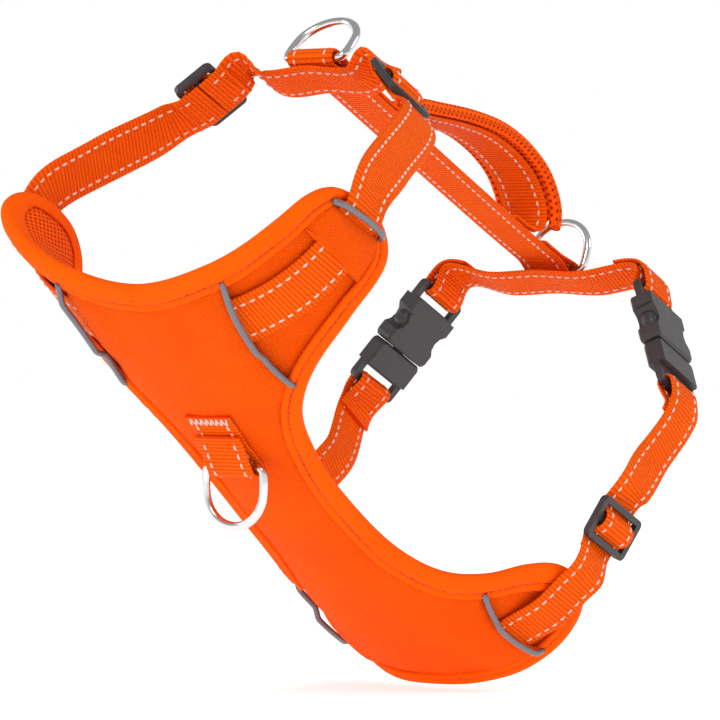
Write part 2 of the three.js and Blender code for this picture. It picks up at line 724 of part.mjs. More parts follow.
// ---- Handle -------------------------------------------------------------------------------------------------------
const HANDLE_ARCH = [
  [-74, 102],
  [-58, 102],
  [-38, 108],
  [-6, 119],
  [17, 125],
  [39, 126],
  [58, 122],
  [71, 112],
  [72, 104],
  [62, 101],
  [50, 101],
];
const handleRun = stations(HANDLE_ARCH.map(([y, z]) => new THREE.Vector3(0, y, z)), AXIS_X, 7);
addPiece('handle_webbing', ribbon(handleRun), 'orange');
const padded = handleRun.filter((station) => station.reach > 26 && station.reach < 160);
const padLift = WEBBING_THICK / 2 + GAP + HANDLE_PAD_THICK / 2;
const padRun = padded.map((station) => shifted(station, padLift));
addPiece('handle_pad', ribbon(padRun, HANDLE_WIDTH - 2 * HANDLE_ROLL_RADIUS, HANDLE_PAD_THICK), 'mesh');
for (const [side, hand] of [[1, 'left'], [-1, 'right']]) {
  const across = side * (HANDLE_WIDTH / 2 + GAP);
  const rollPath = padRun.map((station) => station.at.clone().addScaledVector(station.width, across));
  addPiece(`handle_roll_${hand}`, tube(rollPath, HANDLE_ROLL_RADIUS, 22, 8), 'mesh');
}

export default harness;
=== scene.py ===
import math
import bpy
import numpy as np
from mathutils.geometry import delaunay_2d_cdt
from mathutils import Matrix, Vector


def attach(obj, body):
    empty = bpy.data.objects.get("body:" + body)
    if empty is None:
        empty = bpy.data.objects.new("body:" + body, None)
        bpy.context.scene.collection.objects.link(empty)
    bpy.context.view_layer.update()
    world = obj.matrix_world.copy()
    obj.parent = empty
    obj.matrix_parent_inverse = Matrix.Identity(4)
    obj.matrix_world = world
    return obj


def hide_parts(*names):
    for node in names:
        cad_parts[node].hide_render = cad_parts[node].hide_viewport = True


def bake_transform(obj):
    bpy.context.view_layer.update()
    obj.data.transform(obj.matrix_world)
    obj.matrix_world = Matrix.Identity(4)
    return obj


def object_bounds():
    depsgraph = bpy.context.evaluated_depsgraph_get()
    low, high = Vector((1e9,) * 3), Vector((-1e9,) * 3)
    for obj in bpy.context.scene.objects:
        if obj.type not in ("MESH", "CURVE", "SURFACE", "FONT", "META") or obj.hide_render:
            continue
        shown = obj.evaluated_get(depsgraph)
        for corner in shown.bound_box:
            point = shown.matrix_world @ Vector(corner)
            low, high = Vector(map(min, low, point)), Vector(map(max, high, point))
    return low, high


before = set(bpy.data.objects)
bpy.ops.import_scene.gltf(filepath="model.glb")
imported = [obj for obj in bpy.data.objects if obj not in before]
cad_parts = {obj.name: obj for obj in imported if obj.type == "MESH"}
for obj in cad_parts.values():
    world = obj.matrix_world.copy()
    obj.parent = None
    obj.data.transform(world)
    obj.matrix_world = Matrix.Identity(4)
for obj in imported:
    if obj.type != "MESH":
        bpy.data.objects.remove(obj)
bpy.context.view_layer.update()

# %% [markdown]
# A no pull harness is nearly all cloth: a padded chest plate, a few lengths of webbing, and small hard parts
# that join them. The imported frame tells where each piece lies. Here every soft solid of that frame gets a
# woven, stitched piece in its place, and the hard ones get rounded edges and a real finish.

# %% [markdown]
# The harness is laid out along the dog's body: x to the dog's left, y to the tail, z to the spine, in
# millimetres. The whole of it is then pitched nose-up. Working in the body's own directions keeps each
# formula simple, and one function turns the result into the scene's metres.

# %% Body directions to scene
PITCH = math.radians(26.2)
MM = 0.001


def to_scene(points):
    x, y, z = np.asarray(points, float).T
    turned_y = y * math.cos(PITCH) + z * math.sin(PITCH)
    turned_z = -y * math.sin(PITCH) + z * math.cos(PITCH)
    return np.stack([x, turned_y, turned_z], axis=1) * MM


# %% The sizes of the frame's pieces, in millimetres
GAP = 0.4
WEBBING_WIDTH = 25.0
WEBBING_THICK = 1.8
WIRE_RADIUS = 2.0
BACK_HEIGHT = 97.0
ARM_RADIUS = 85.0
CLOTH = 0.8
FOAM = 3.4
LAYER_GAP = 0.95
PANEL = 1.0
BINDING_WIDTH = 10.0
BASE_TOP = 2 * CLOTH + FOAM + 2 * LAYER_GAP
PANEL_FLOOR = BASE_TOP + LAYER_GAP
PANEL_TOP = PANEL_FLOOR + PANEL
ARM_WEBBING = BASE_TOP + LAYER_GAP + WEBBING_THICK / 2
TIP_WEBBING = PANEL_TOP + 2 * LAYER_GAP + WEBBING_THICK / 2
FOLD_RADIUS = WEBBING_THICK / 2 + GAP + WIRE_RADIUS + 0.2
SHOULDER_SEAM, BELLY_SEAM = 46.0, 50.0
SHOULDER_Y, BELLY_Y = -158.0, 82.0
SLEEVE_INNER, SLEEVE_OUTER = 100.0, 125.0
PIPING_RADIUS = 1.35
FRONT_Y, REAR_Y = -105.0, 101.0


# %% The chest inside the harness
def on_chest(round_, y, height):
    """Points at a distance round the chest from the keel, at a station y, at a height above the skin."""
    round_, y, height = np.broadcast_arrays(*(np.asarray(v, float) for v in (round_, y, height)))
    angle = round_ / ARM_RADIUS
    middle = 4.5 + 0.045 * y
    keel = -98 - 0.19 * y + 0.00051 * y * y
    depth = np.where(np.cos(angle) > 0, middle - keel, 60.0)
    half = 84 + 0.035 * y
    return np.stack(
        [(half + height) * np.sin(angle), y, middle - (depth + height) * np.cos(angle)], axis=-1
    )


# %% Curves
def spline(points, step, closed=False):
    """A centripetal Catmull-Rom curve through the points, at equal steps along it."""
    points = np.asarray(points, float)
    if closed:
        padded = np.vstack([points[-1], points, points[:2]])
    else:
        padded = np.vstack([2 * points[0] - points[1], points, 2 * points[-1] - points[-2]])
    fine = []
    for p0, p1, p2, p3 in zip(padded, padded[1:], padded[2:], padded[3:]):
        t1 = np.linalg.norm(p1 - p0) ** 0.5
        t2 = t1 + np.linalg.norm(p2 - p1) ** 0.5
        t3 = t2 + np.linalg.norm(p3 - p2) ** 0.5
        t = np.linspace(t1, t2, 40, endpoint=False)[:, None]
        a1 = (t1 - t) / t1 * p0 + t / t1 * p1
        a2 = (t2 - t) / (t2 - t1) * p1 + (t - t1) / (t2 - t1) * p2
        a3 = (t3 - t) / (t3 - t2) * p2 + (t - t2) / (t3 - t2) * p3
        b1 = (t2 - t) / t2 * a1 + t / t2 * a2
        b2 = (t3 - t) / (t3 - t1) * a2 + (t - t1) / (t3 - t1) * a3
        fine.append((t2 - t) / (t2 - t1) * b1 + (t - t1) / (t2 - t1) * b2)
    fine = np.vstack([*fine, padded[-2]])
    reach = np.r_[0, np.cumsum(np.linalg.norm(np.diff(fine, axis=0), axis=1))]
    count = max(3, round(reach[-1] / step))
    at = np.linspace(0, reach[-1], count + 1)
    if closed:
        at = at[:-1]
    return np.stack([np.interp(at, reach, axis) for axis in fine.T], axis=1)


def unit(vectors):
    return vectors / np.linalg.norm(vectors, axis=-1, keepdims=True)


def smoothstep(value, low, high):
    share = np.clip((np.asarray(value, float) - low) / (high - low), 0, 1)
    return share * share * (3 - 2 * share)


# %% [markdown]
# Every finish below is worked out by nodes, with no pictures. A small class wraps a node socket so that the
# sums can be written as sums: each operator adds the Math node that does it.

# %% Shader maths
class Value:
    def __init__(self, tree, socket):
        self.tree = tree
        self.socket = socket

    def math(self, operation, *others, swap=False):
        terms = [*others, self] if swap else [self, *others]
        return node(self.tree, "ShaderNodeMath", {"operation": operation}, terms)[0]

    def __add__(self, other):
        return self.math("ADD", other)

    def __sub__(self, other):
        return self.math("SUBTRACT", other)

    def __rsub__(self, other):
        return self.math("SUBTRACT", other, swap=True)

    def __mul__(self, other):
        return self.math("MULTIPLY", other)

    def __truediv__(self, other):
        return self.math("DIVIDE", other)

    def __pow__(self, other):
        return self.math("POWER", other)

    __radd__ = __add__
    __rmul__ = __mul__


def node(tree, kind, settings, inputs):
    """Adds a node. Its settings are set first, then its sockets are given numbers or linked."""
    made = tree.nodes.new(kind)
    for key, value in settings.items():
        setattr(made, key, value)
    named = inputs.items() if isinstance(inputs, dict) else enumerate(inputs)
    for key, value in named:
        if isinstance(value, Value):
            tree.links.new(value.socket, made.inputs[key])
        else:
            made.inputs[key].default_value = value
    return [Value(tree, socket) for socket in made.outputs]


def mix_colours(tree, share, first, second, blend="MIX"):
    inputs = {0: share, 6: first, 7: second}
    return node(tree, "ShaderNodeMix", {"data_type": "RGBA", "blend_type": blend}, inputs)[2]


def material(name, roughness, colour=None, metallic=0.0, sheen=0.0, specular=0.5):
    """A new material: (material, its tree, its shader). The even values sit on the shader's own sockets."""
    made = bpy.data.materials.new(name)
    made.use_nodes = True
    tree = made.node_tree
    shader = tree.nodes["Principled BSDF"]
    shader.inputs["Roughness"].default_value = roughness
    shader.inputs["Metallic"].default_value = metallic
    shader.inputs["Sheen Weight"].default_value = sheen
    shader.inputs["Sheen Roughness"].default_value = 0.5
    shader.inputs["Sheen Tint"].default_value = (1.0, 0.35, 0.08, 1)
    shader.inputs["Specular IOR Level"].default_value = specular
    if colour:
        shader.inputs["Base Color"].default_value = colour
        made.diffuse_color = colour
    return made, tree, shader


def feed(tree, shader, name, value):
    tree.links.new(value.socket, shader.inputs[name])


def bump(tree, shader, height, distance, strength=1.0):
    inputs = {"Strength": strength, "Distance": distance, "Height": height}
    feed(tree, shader, "Normal", node(tree, "ShaderNodeBump", {}, inputs)[0])


def noise(tree, place, scale, detail=3.0, roughness=0.5):
    inputs = {"Vector": place, "Scale": scale, "Detail": detail, "Roughness": roughness}
    return node(tree, "ShaderNodeTexNoise", {}, inputs)[0]


def object_place(tree):
    return node(tree, "ShaderNodeTexCoord", {}, {})[3]


def strip_place(tree):
    """(along, across) in millimetres, from the piece's own map."""
    flat = node(tree, "ShaderNodeTexCoord", {}, {})[2]
    along, across, _ = node(tree, "ShaderNodeSeparateXYZ", {}, [flat])
    return along * 100.0, across * 100.0


ORANGE = (1.0, 0.12, 0.0, 1)
DEEP_ORANGE = (0.66, 0.04, 0.0, 1)
BRIGHT_ORANGE = (1.0, 0.13, 0.0, 1)

# %% [markdown]
# Oxford cloth is a plain weave of doubled yarns. Two sets of yarns cross, and each is highest where it passes
# over the other. The product of two sine waves gives that chequer, and a little noise keeps it from being too
# regular. The lower spots take a deeper orange because light is lost between the yarns.

# %% Woven cloth
YARN = 0.85  # millimetres between yarns


def cloth_material(name, colour, deep, yarn=YARN, depth=0.0003):
    made, tree, shader = material(name, 0.82, sheen=0.06, specular=0.06)
    along, across = strip_place(tree)
    place = object_place(tree)
    drift = noise(tree, place, 220.0) * 0.5
    warp = (along * (math.pi / yarn) + drift).math("SINE")
    weft = (across * (math.pi / yarn) + drift).math("SINE")
    weave = warp * weft * 0.5 + 0.5
    blotch = noise(tree, place, 28.0, 4.0)
    share = weave * 0.55 + blotch * 0.5
    feed(tree, shader, "Base Color", mix_colours(tree, share, deep, colour))
    feed(tree, shader, "Roughness", 0.72 + blotch * 0.2)
    bump(tree, shader, weave + blotch * 0.6, depth)
    return made


panel_cloth = cloth_material("panel_cloth", ORANGE, DEEP_ORANGE)
tape_cloth = cloth_material("binding_tape", BRIGHT_ORANGE, (0.88, 0.07, 0.0, 1), yarn=0.4, depth=0.00006)

# %% [markdown]
# Webbing is woven with its weft packed in tight, so it shows ribs straight across. Each rib is a fat yarn,
# and along the rib the fine warp yarns wrap over it like beads.

# %% Webbing
RIB = 1.9  # millimetres from rib to rib


def webbing_material():
    made, tree, shader = material("webbing", 0.6, sheen=0.01, specular=0.05)
    along, across = strip_place(tree)
    place = object_place(tree)
    ribs = (along * (math.pi / RIB)).math("SINE").math("ABSOLUTE") ** 0.6
    beads = (across * (math.pi / 0.55) + (along * (math.pi / RIB)).math("FLOOR") * 1.57).math("SINE")
    height = ribs + beads * ribs * 0.25
    patches = noise(tree, place, 60.0)
    # Painted light and shade: the colour is lighter on the rib tops and on the beads of warp over them as a
    # painted highlight, and darker in the gaps between the ribs as painted shade. The noise patches add a
    # random tone.
    share = ribs * 0.8 + beads * 0.14 + patches * 0.3 - 0.1
    feed(tree, shader, "Base Color", mix_colours(tree, share, (0.86, 0.045, 0.0, 1), (1.0, 0.14, 0.0, 1)))
    feed(tree, shader, "Roughness", 0.75 - ribs * 0.2)
    bump(tree, shader, height, 0.0005)
    return made


webbing = webbing_material()

# %% [markdown]
# The sewing thread in the webbing carries a pale reflective yarn. The plain thread on the binding is orange.

# %% Threads and piping
def thread_material(name, colour, roughness, metallic=0.0):
    made, tree, shader = material(name, roughness, metallic=metallic)
    twist = noise(tree, object_place(tree), 900.0)
    darker = tuple(c * 0.72 for c in colour[:3]) + (1,)
    feed(tree, shader, "Base Color", mix_colours(tree, twist, darker, colour))
    bump(tree, shader, twist, 0.0001)
    return made


pale_thread = thread_material("reflective_thread", (0.95, 0.6, 0.48, 1), 0.5)
orange_thread = thread_material("orange_thread", (0.7, 0.035, 0.0, 1), 0.7)
piping_cloth = thread_material("reflective_piping", (0.2, 0.2, 0.225, 1), 0.38, 0.3)


# %% Moulded plastic and plated wire
CHARCOAL, WORN_CHARCOAL = (0.018, 0.015, 0.016, 1), (0.045, 0.038, 0.04, 1)


def plastic_material():
    made, tree, shader = material("charcoal_plastic", 0.4)
    place = object_place(tree)
    grain = noise(tree, place, 1500.0, 2.0)
    scuffs = noise(tree, place, 90.0, 5.0, 0.6)
    feed(tree, shader, "Base Color", mix_colours(tree, scuffs, CHARCOAL, WORN_CHARCOAL))
    feed(tree, shader, "Roughness", 0.34 + scuffs * 0.22)
    bump(tree, shader, grain, 0.00005)
    return made


def chrome_material():
    made, tree, shader = material("polished_wire", 0.14, metallic=1.0)
    place = object_place(tree)
    haze = noise(tree, place, 160.0, 4.0)
    feed(tree, shader, "Base Color", mix_colours(tree, haze, (0.62, 0.6, 0.6, 1), (0.86, 0.85, 0.84, 1)))
    feed(tree, shader, "Roughness", 0.1 + haze * 0.14)
    return made


plastic = plastic_material()
chrome = chrome_material()

# %% [markdown]
# Air mesh is a knitted spacer cloth. Its face is open with rows of small holes, offset row by row, and the
# holes look dark because the lower knit lies in shade.

# %% Air mesh
def mesh_material(name, pitch, hole):
    made, tree, shader = material(name, 0.85, sheen=0.06, specular=0.08)
    along, across = strip_place(tree)
    rows = across / (pitch * 0.87)
    row = rows.math("ROUND")
    shift = row.math("MODULO", 2.0).math("ABSOLUTE") * 0.5
    cells = along / pitch + shift
    along_cell = (cells - cells.math("ROUND")) * pitch
    across_cell = (rows - row) * (pitch * 0.87)
    distance = (along_cell * along_cell + across_cell * across_cell).math("SQRT")
    solid = node(tree, "ShaderNodeMapRange", {"interpolation_type": "SMOOTHSTEP"},
                 {"Value": distance, "From Min": hole * 0.55, "From Max": hole * 1.35})[0]
    patches = noise(tree, object_place(tree), 80.0)
    colour = mix_colours(tree, solid, (0.3, 0.012, 0.0, 1), (1.0, 0.1, 0.0, 1))
    feed(tree, shader, "Base Color", mix_colours(tree, patches * 0.25, colour, (0.75, 0.05, 0.0, 1)))
    bump(tree, shader, solid, 0.0008)
    return made


air_mesh = mesh_material("air_mesh", 3.4, 0.75)

# %% [markdown]
# One helper turns points and faces into a piece: it makes the mesh, gives it its map, its material and its
# body, and hides the solids of the frame that it stands for.

# %% Making a piece
def make_piece(name, points, faces, finish, body, nodes=(), uv=None):
    mesh = bpy.data.meshes.new(name)
    mesh.from_pydata(to_scene(points).tolist(), [], faces)
    mesh.validate()
    mesh.polygons.foreach_set("use_smooth", [True] * len(mesh.polygons))
    if uv is not None:
        layer = mesh.uv_layers.new(name="map")
        corners = np.empty(len(mesh.loops), dtype=np.int32)
        mesh.loops.foreach_get("vertex_index", corners)
        layer.data.foreach_set("uv", (np.asarray(uv)[corners] / 100.0).astype(np.float32).ravel())
    mesh.materials.append(finish)
    made = bpy.data.objects.new(name, mesh)
    bpy.context.scene.collection.objects.link(made)
    if nodes:
        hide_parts(*nodes)
    if body:
        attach(made, body)
    return made


MAIN = "harness_body"


# %% [markdown]
# A sweep joins one ring of points to the next. With `closed` it also joins the last ring to the first, and
# otherwise it closes each end with a cap.

# %% Sweeping a section
def sweep(rings, closed=False):
    """Rings is (stations, points round, 3). Returns the points and the faces."""
    stations, round_ = rings.shape[:2]
    points = rings.reshape(-1, 3)
    faces = []
    for i in range(stations if closed else stations - 1):
        here, there = i * round_, ((i + 1) % stations) * round_
        for j in range(round_):
            k = (j + 1) % round_
            faces.append((here + j, here + k, there + k, there + j))
    if not closed:
        faces.append(tuple(range(round_ - 1, -1, -1)))
        last = (stations - 1) * round_
        faces.append(tuple(range(last, last + round_)))
    return points, faces


def tube(path, radius, sides=12, closed=False):
    path = np.asarray(path, float)
    along = unit(np.roll(path, -1, 0) - np.roll(path, 1, 0)) if closed else unit(np.gradient(path, axis=0))
    guess = np.array([0.13, 0.2, 0.97])
    side = unit(np.cross(along, guess))
    up = np.cross(side, along)
    turn = np.linspace(0, 2 * math.pi, sides, endpoint=False)
    ring = np.cos(turn)[None, :, None] * side[:, None] + np.sin(turn)[None, :, None] * up[:, None]
    return sweep(path[:, None] + ring * radius, closed)


# %% [markdown]
# Webbing is flat and firm, so it is modelled directly: a thin section with rounded selvedges, carried along a
# path. The path's stations keep their own outward direction and width direction, so that a strap can lie on
# the chest, cross open air and fold round a bar without twisting.

# %% The path of a strap
def strap_path(points, width_axes, step=1.6, ease=lambda line: line):
    """Stations as a dictionary of arrays: at, along, width, normal and reach."""
    at = ease(spline(points, step))
    along = unit(np.gradient(at, axis=0))
    knots = np.linspace(0, 1, len(width_axes))
    here = np.linspace(0, 1, len(at))
    axes = np.stack([np.interp(here, knots, column) for column in np.asarray(width_axes, float).T], axis=1)
    width = unit(axes - along * np.sum(axes * along, axis=1, keepdims=True))
    normal = np.cross(width, along)
    reach = np.r_[0, np.cumsum(np.linalg.norm(np.diff(at, axis=0), axis=1))]
    return {"at": at, "along": along, "width": width, "normal": normal, "reach": reach}


def part_of(path, rows):
    return {key: value[rows] for key, value in path.items()}


def reversed_path(path):
    flipped = part_of(path, slice(None, None, -1))
    flipped["along"] = -flipped["along"]
    flipped["reach"] = path["reach"][-1] - flipped["reach"]
    return flipped


def join_paths(*paths):
    joined = {key: np.concatenate([path[key] for path in paths]) for key in paths[0]}
    steps = np.linalg.norm(np.diff(joined["at"], axis=0), axis=1)
    joined["reach"] = np.r_[0, np.cumsum(steps)]
    return joined


FOLD_TAPER = 16.0


def fold(path, back, layer):
    """Folds the strap's end round a bar, with the second layer on the side of `layer`."""
    from_end = path["reach"][-1] - path["reach"]
    spread = (1 - smoothstep(from_end, 0, FOLD_TAPER))[:, None]
    main = dict(path, at=path["at"] - layer * FOLD_RADIUS * spread * path["normal"])
    angle = np.linspace(0, math.pi, 9)[1:-1, None]
    last = {key: np.repeat(value[-1:], len(angle), axis=0) for key, value in path.items()}
    normal = last["normal"] * np.cos(angle) - layer * last["along"] * np.sin(angle)
    turn = dict(last, at=last["at"] - layer * FOLD_RADIUS * normal, normal=normal)
    rows = np.flatnonzero(from_end <= back)[::-1]
    lift = (FOLD_RADIUS * spread + (WEBBING_THICK + GAP) * (1 - spread))[rows]
    under = part_of(path, rows)
    under["at"] = under["at"] + layer * lift * under["normal"]
    under["normal"] = -under["normal"]
    return join_paths(main, turn, under)


def fold_both(path, back, start_layer, end_layer):
    half = len(path["at"]) // 2
    first = part_of(path, slice(0, half + 1))
    last = part_of(path, slice(half, None))
    last["reach"] = last["reach"] - last["reach"][0]
    start = fold(reversed_path(first), back, start_layer)
    end = fold(last, back, end_layer)
    opened = part_of(start, slice(None, None, -1))
    return join_paths(opened, part_of(end, slice(1, None)))


# %% The section of a strap
def strap_section(width, thick, sides=18):
    """Points round a flat section with rounded selvedges, and how far across each lies."""
    turn = np.linspace(0, 2 * math.pi, sides, endpoint=False) + math.pi / sides
    across = np.sign(np.cos(turn)) * np.abs(np.cos(turn)) ** 0.35 * width / 2
    up = np.sign(np.sin(turn)) * np.abs(np.sin(turn)) ** 0.6 * thick / 2
    return across, up


def strap_rings(path, width, thick, sides=18):
    across, up = strap_section(width, thick, sides)
    rings = path["at"][:, None] + across[None, :, None] * path["width"][:, None]
    return rings + up[None, :, None] * path["normal"][:, None], across


def make_strap(name, path, nodes, body=MAIN, width=WEBBING_WIDTH, thick=WEBBING_THICK, finish=None):
    rings, across = strap_rings(path, width, thick)
    points, faces = sweep(rings)
    along = np.repeat(path["reach"], rings.shape[1])
    uv = np.stack([along, np.tile(across, rings.shape[0])], axis=1)
    piece = make_piece(name, points, faces, finish or webbing, body, nodes, uv=uv)
    print(name, "is", round(float(path["reach"][-1])), "mm long")
    return piece


# %% [markdown]
# Two rows of pale thread run along the webbing, four millimetres in from each edge. Each stitch is a small
# rounded bar that sinks a little into the cloth at its ends, so the rows are real shapes and catch the light.

# %% Stitches
STITCH_SIDES = 6
# Rings along a stitch: the place from end to end, the thickness, and the height over the cloth.
STITCH_RINGS = (
    (-1.0, 0.0, -0.35),
    (-0.86, 0.75, -0.05),
    (0.0, 1.0, 0.1),
    (0.86, 0.75, -0.05),
    (1.0, 0.0, -0.35),
)


def stitch_mesh(starts, ends, ups, thread):
    """Points and faces of a bar of thread from each start to each end. ups point out of the cloth."""
    middle = (starts + ends) / 2
    along = (ends - starts) / 2
    out = unit(ups - unit(along) * np.sum(ups * unit(along), axis=1, keepdims=True))
    side = np.cross(unit(along), out)
    turn = np.linspace(0, 2 * math.pi, STITCH_SIDES, endpoint=False)
    rings = []
    for share, size, rise in STITCH_RINGS:
        centre = middle + along * share + out * rise * thread
        ring = np.cos(turn)[None, :, None] * side[:, None] + 0.6 * np.sin(turn)[None, :, None] * out[:, None]
        rings.append(centre[:, None] + ring * thread / 2 * max(size, 0.25))
    rings = np.stack(rings, axis=1)
    points, faces = [], []
    for bar in rings:
        bar_points, bar_faces = sweep(bar)
        base = len(points)
        points.extend(bar_points.tolist())
        faces.extend([tuple(base + corner for corner in face) for face in bar_faces])
    return np.array(points), faces


def dashes(line, ups, length, pitch):
    """Cuts a line into stitches. Returns their starts, ends and outward directions."""
    reach = np.r_[0, np.cumsum(np.linalg.norm(np.diff(line, axis=0), axis=1))]
    begin = np.arange(pitch * 0.5, reach[-1] - length, pitch)
    pick = lambda at, data: np.stack([np.interp(at, reach, column) for column in data.T], axis=1)
    return pick(begin, line), pick(begin + length, line), pick(begin + length / 2, ups)


def sew(name, lines, finish, thread=0.8, length=3.0, pitch=4.6, body=MAIN):
    """Sews stitches along lines, each a pair of points and outward directions."""
    cut = [dashes(line, ups, length, pitch) for line, ups in lines]
    starts, ends, ups = (np.concatenate(group) for group in zip(*cut))
    points, faces = stitch_mesh(starts, ends, ups, thread)
    sewn = make_piece(name, points, faces, finish, body)
    print(name, "has", len(starts), "stitches")
    return sewn


EDGE_ROW = 4.2  # from the selvedge to the row of thread


def strap_rows(path, faces=(1, -1), ends=3.0):
    inside = (path["reach"] > ends) & (path["reach"] < path["reach"][-1] - ends)
    kept = part_of(path, inside)
    rows = []
    for face in faces:
        for side in (-1, 1):
            across = side * (WEBBING_WIDTH / 2 - EDGE_ROW)
            line = kept["at"] + across * kept["width"] + face * (WEBBING_THICK / 2 + 0.05) * kept["normal"]
            rows.append((line, face * kept["normal"]))
    return rows


# %% [markdown]
# The chest plate is cut flat and then wrapped round the chest. Its outline is laid out as distances round the
# chest and along the body, so the flat pattern is the one a maker would cut. A triangulation fills the
# outline with even points, and one height function shapes each layer.

# %% The plate's pattern
HALF_OUTLINE = [
    (0, -183), (41, -187), (92, -191), (120, -187), (135, -177), (139, -159), (135, -141), (121, -129),
    (88, -127), (60, -118), (42, -100), (34, -70), (33, -35), (36, 0), (44, 26), (56, 43),
    (68, 55), (76, 70), (77, 88), (71, 101), (59, 108), (40, 109), (20, 104), (0, 100),
]
mirrored_half = [(-x, y) for x, y in HALF_OUTLINE[-2:0:-1]]
OUTLINE = spline([(x, y, 0) for x, y in HALF_OUTLINE + mirrored_half], 3.0, closed=True)[:, :2]


def plate_loop(inset):
    tangent = unit(np.roll(OUTLINE, -1, 0) - np.roll(OUTLINE, 1, 0))
    return OUTLINE + np.stack([-tangent[:, 1], tangent[:, 0]], axis=1) * inset


def clip_below(loop, axis, limit, sign):
    """Keeps the part of a closed loop where sign * coordinate is below the limit."""
    kept = []
    for here, there in zip(loop, np.roll(loop, -1, 0)):
        inside, next_inside = sign * here[axis] <= limit, sign * there[axis] <= limit
        if inside:
            kept.append(here)
        if inside != next_inside:
            share = (limit - sign * here[axis]) / (sign * there[axis] - sign * here[axis])
            kept.append(here + (there - here) * share)
    return np.array(kept)


def distance_to(loop, points):
    """The distance from each point to a closed loop."""
    best = np.full(len(points), 1e9)
    for a, b in zip(loop, np.roll(loop, -1, 0)):
        edge = b - a
        share = np.clip((points - a) @ edge / max(edge @ edge, 1e-9), 0, 1)
        best = np.minimum(best, np.linalg.norm(points - a - share[:, None] * edge, axis=1))
    return best


def fill_pattern(loop, step):
    """Points and triangles that fill a closed flat loop."""
    low, high = loop.min(0), loop.max(0)
    columns = np.arange(low[0], high[0], step)
    rows = np.arange(low[1], high[1], step * 0.866)
    grid = np.array([(x + (j % 2) * step / 2, y) for j, y in enumerate(rows) for x in columns])
    grid = grid[inside_loop(loop, grid)]
    grid = grid[distance_to(loop, grid) > step * 0.5]
    points = np.vstack([loop, grid])
    edges = [(i, (i + 1) % len(loop)) for i in range(len(loop))]
    found = delaunay_2d_cdt([Vector(p) for p in points], edges, [], 1, 1e-6)
    return np.array([tuple(p) for p in found[0]]), found[2]


def inside_loop(loop, points):
    inside = np.zeros(len(points), bool)
    for a, b in zip(loop, np.roll(loop, -1, 0)):
        crosses = (a[1] > points[:, 1]) != (b[1] > points[:, 1])
        rise = b[1] - a[1] if b[1] != a[1] else 1e-9
        inside ^= crosses & (points[:, 0] < (b[0] - a[0]) * (points[:, 1] - a[1]) / rise + a[0])
    return inside


def layer_piece(name, loop, step, floor, thick, finish, nodes, height, under):
    """A closed layer of the plate. height and under say how far its two faces are moved from flat."""
    flat, faces = fill_pattern(loop, step)
    count = len(flat)
    outer = on_chest(flat[:, 0], flat[:, 1], floor + thick + height(flat))
    inner = on_chest(flat[:, 0], flat[:, 1], floor + under(flat))
    border = boundary(faces)
    out_faces = [tuple(reversed(face)) for face in faces]
    in_faces = [tuple(corner + count for corner in face) for face in faces]
    walls = [(a, b, b + count, a + count) for a, b in border]
    uv = np.vstack([flat, flat])
    points = np.vstack([outer, inner])
    return make_piece(name, points, out_faces + in_faces + walls, finish, MAIN, nodes, uv)


def boundary(faces):
    edges = {(a, b) for face in faces for a, b in zip(face, face[1:] + face[:1])}
    return [edge for edge in edges if edge[::-1] not in edges]


def ripple(flat, size):
    """A gentle unevenness made of a few waves."""
    x, y = flat[:, 0], flat[:, 1]
    waves = np.sin(x / 11.3 + y / 17.1) + np.sin(x / 7.9 - y / 12.7 + 1.3) + np.sin(y / 9.1 + x / 23.0 + 0.6)
    return size * waves / 3


def lift_over(y, centre, lift):
    beside = np.abs(y - centre) - WEBBING_WIDTH / 2 - GAP
    return lift * (1 - smoothstep(beside, 0, 8))


# %% [markdown]
# The core of the plate is foam between a lining of air mesh and the outer cloth. The foam is full in the
# middle and is pinched to nothing where the binding holds the edges, so the face rises from the edge inwards.

# %% Core, lining and outer panel
BINDING_INNER = BINDING_WIDTH - 1.0
PUFF = 1.7
EDGE_RISE = 4.6


def edge_distance(flat):
    return distance_to(plate_loop(2.0), flat)


def core_height(flat):
    return -1.8 * np.exp(-edge_distance(flat) / 5.0) + ripple(flat, 0.15)


def under_rise(flat):
    """The plate is thin at its edge: its under face curves up to the binding."""
    return EDGE_RISE * np.exp(-((edge_distance(flat) / 11.0) ** 2))


core_floor = CLOTH + 0.2
core = layer_piece("chest_core", plate_loop(2.0), 5.0, core_floor, BASE_TOP - core_floor, panel_cloth,
                   ["chest_base", "chest_foam"], core_height, lambda flat: under_rise(flat) * 0.9)

lining = layer_piece("chest_lining_mesh", plate_loop(2.0), 5.0, 0.0, 0.7, air_mesh, ["chest_lining"],
                     under_rise, under_rise)


def panel_height(flat):
    x, y = np.abs(flat[:, 0]), flat[:, 1]
    from_edge = distance_to(panel_loop, flat)
    crown = PUFF * (1 - np.exp(-from_edge / 7.0)) - 0.5
    pocket = smoothstep(x, 18, 28) * lift_over(y, SHOULDER_Y, 2.0) * (y < 0)
    belly_pocket = smoothstep(x, 24, 34) * lift_over(y, BELLY_Y, 2.0) * (y > 0)
    return crown + pocket + belly_pocket + ripple(flat, 0.35)


SEAM_TURN = 0.8  # the panel's turned edge stops this far short of each seam
SEAM_BOW = -4.0  # how far the middle of a seam is drawn in


def seam_clip(loop):
    """Cuts the panel back to its four seams."""
    front, rear = clip_below(loop, 1, 0.0, 1), clip_below(loop, 1, 0.0, -1)
    for sign in (1, -1):
        front = clip_below(front, 0, SHOULDER_SEAM - SEAM_TURN, sign)
        rear = clip_below(rear, 0, BELLY_SEAM - SEAM_TURN, sign)
    rear_points = [p for p in rear if p[1] > 0.01]
    front_points = [p for p in front if p[1] < -0.01]
    start = int(np.argmin([abs(p[1]) + (p[0] < 0) * 1e3 for p in front_points]))
    ordered_front = front_points[start + 1:] + front_points[:start + 1]
    begin = int(np.argmin([abs(p[1]) + (p[0] < 0) * 1e3 for p in rear_points]))
    ordered_rear = rear_points[begin:] + rear_points[:begin]
    return np.array(ordered_front + ordered_rear)


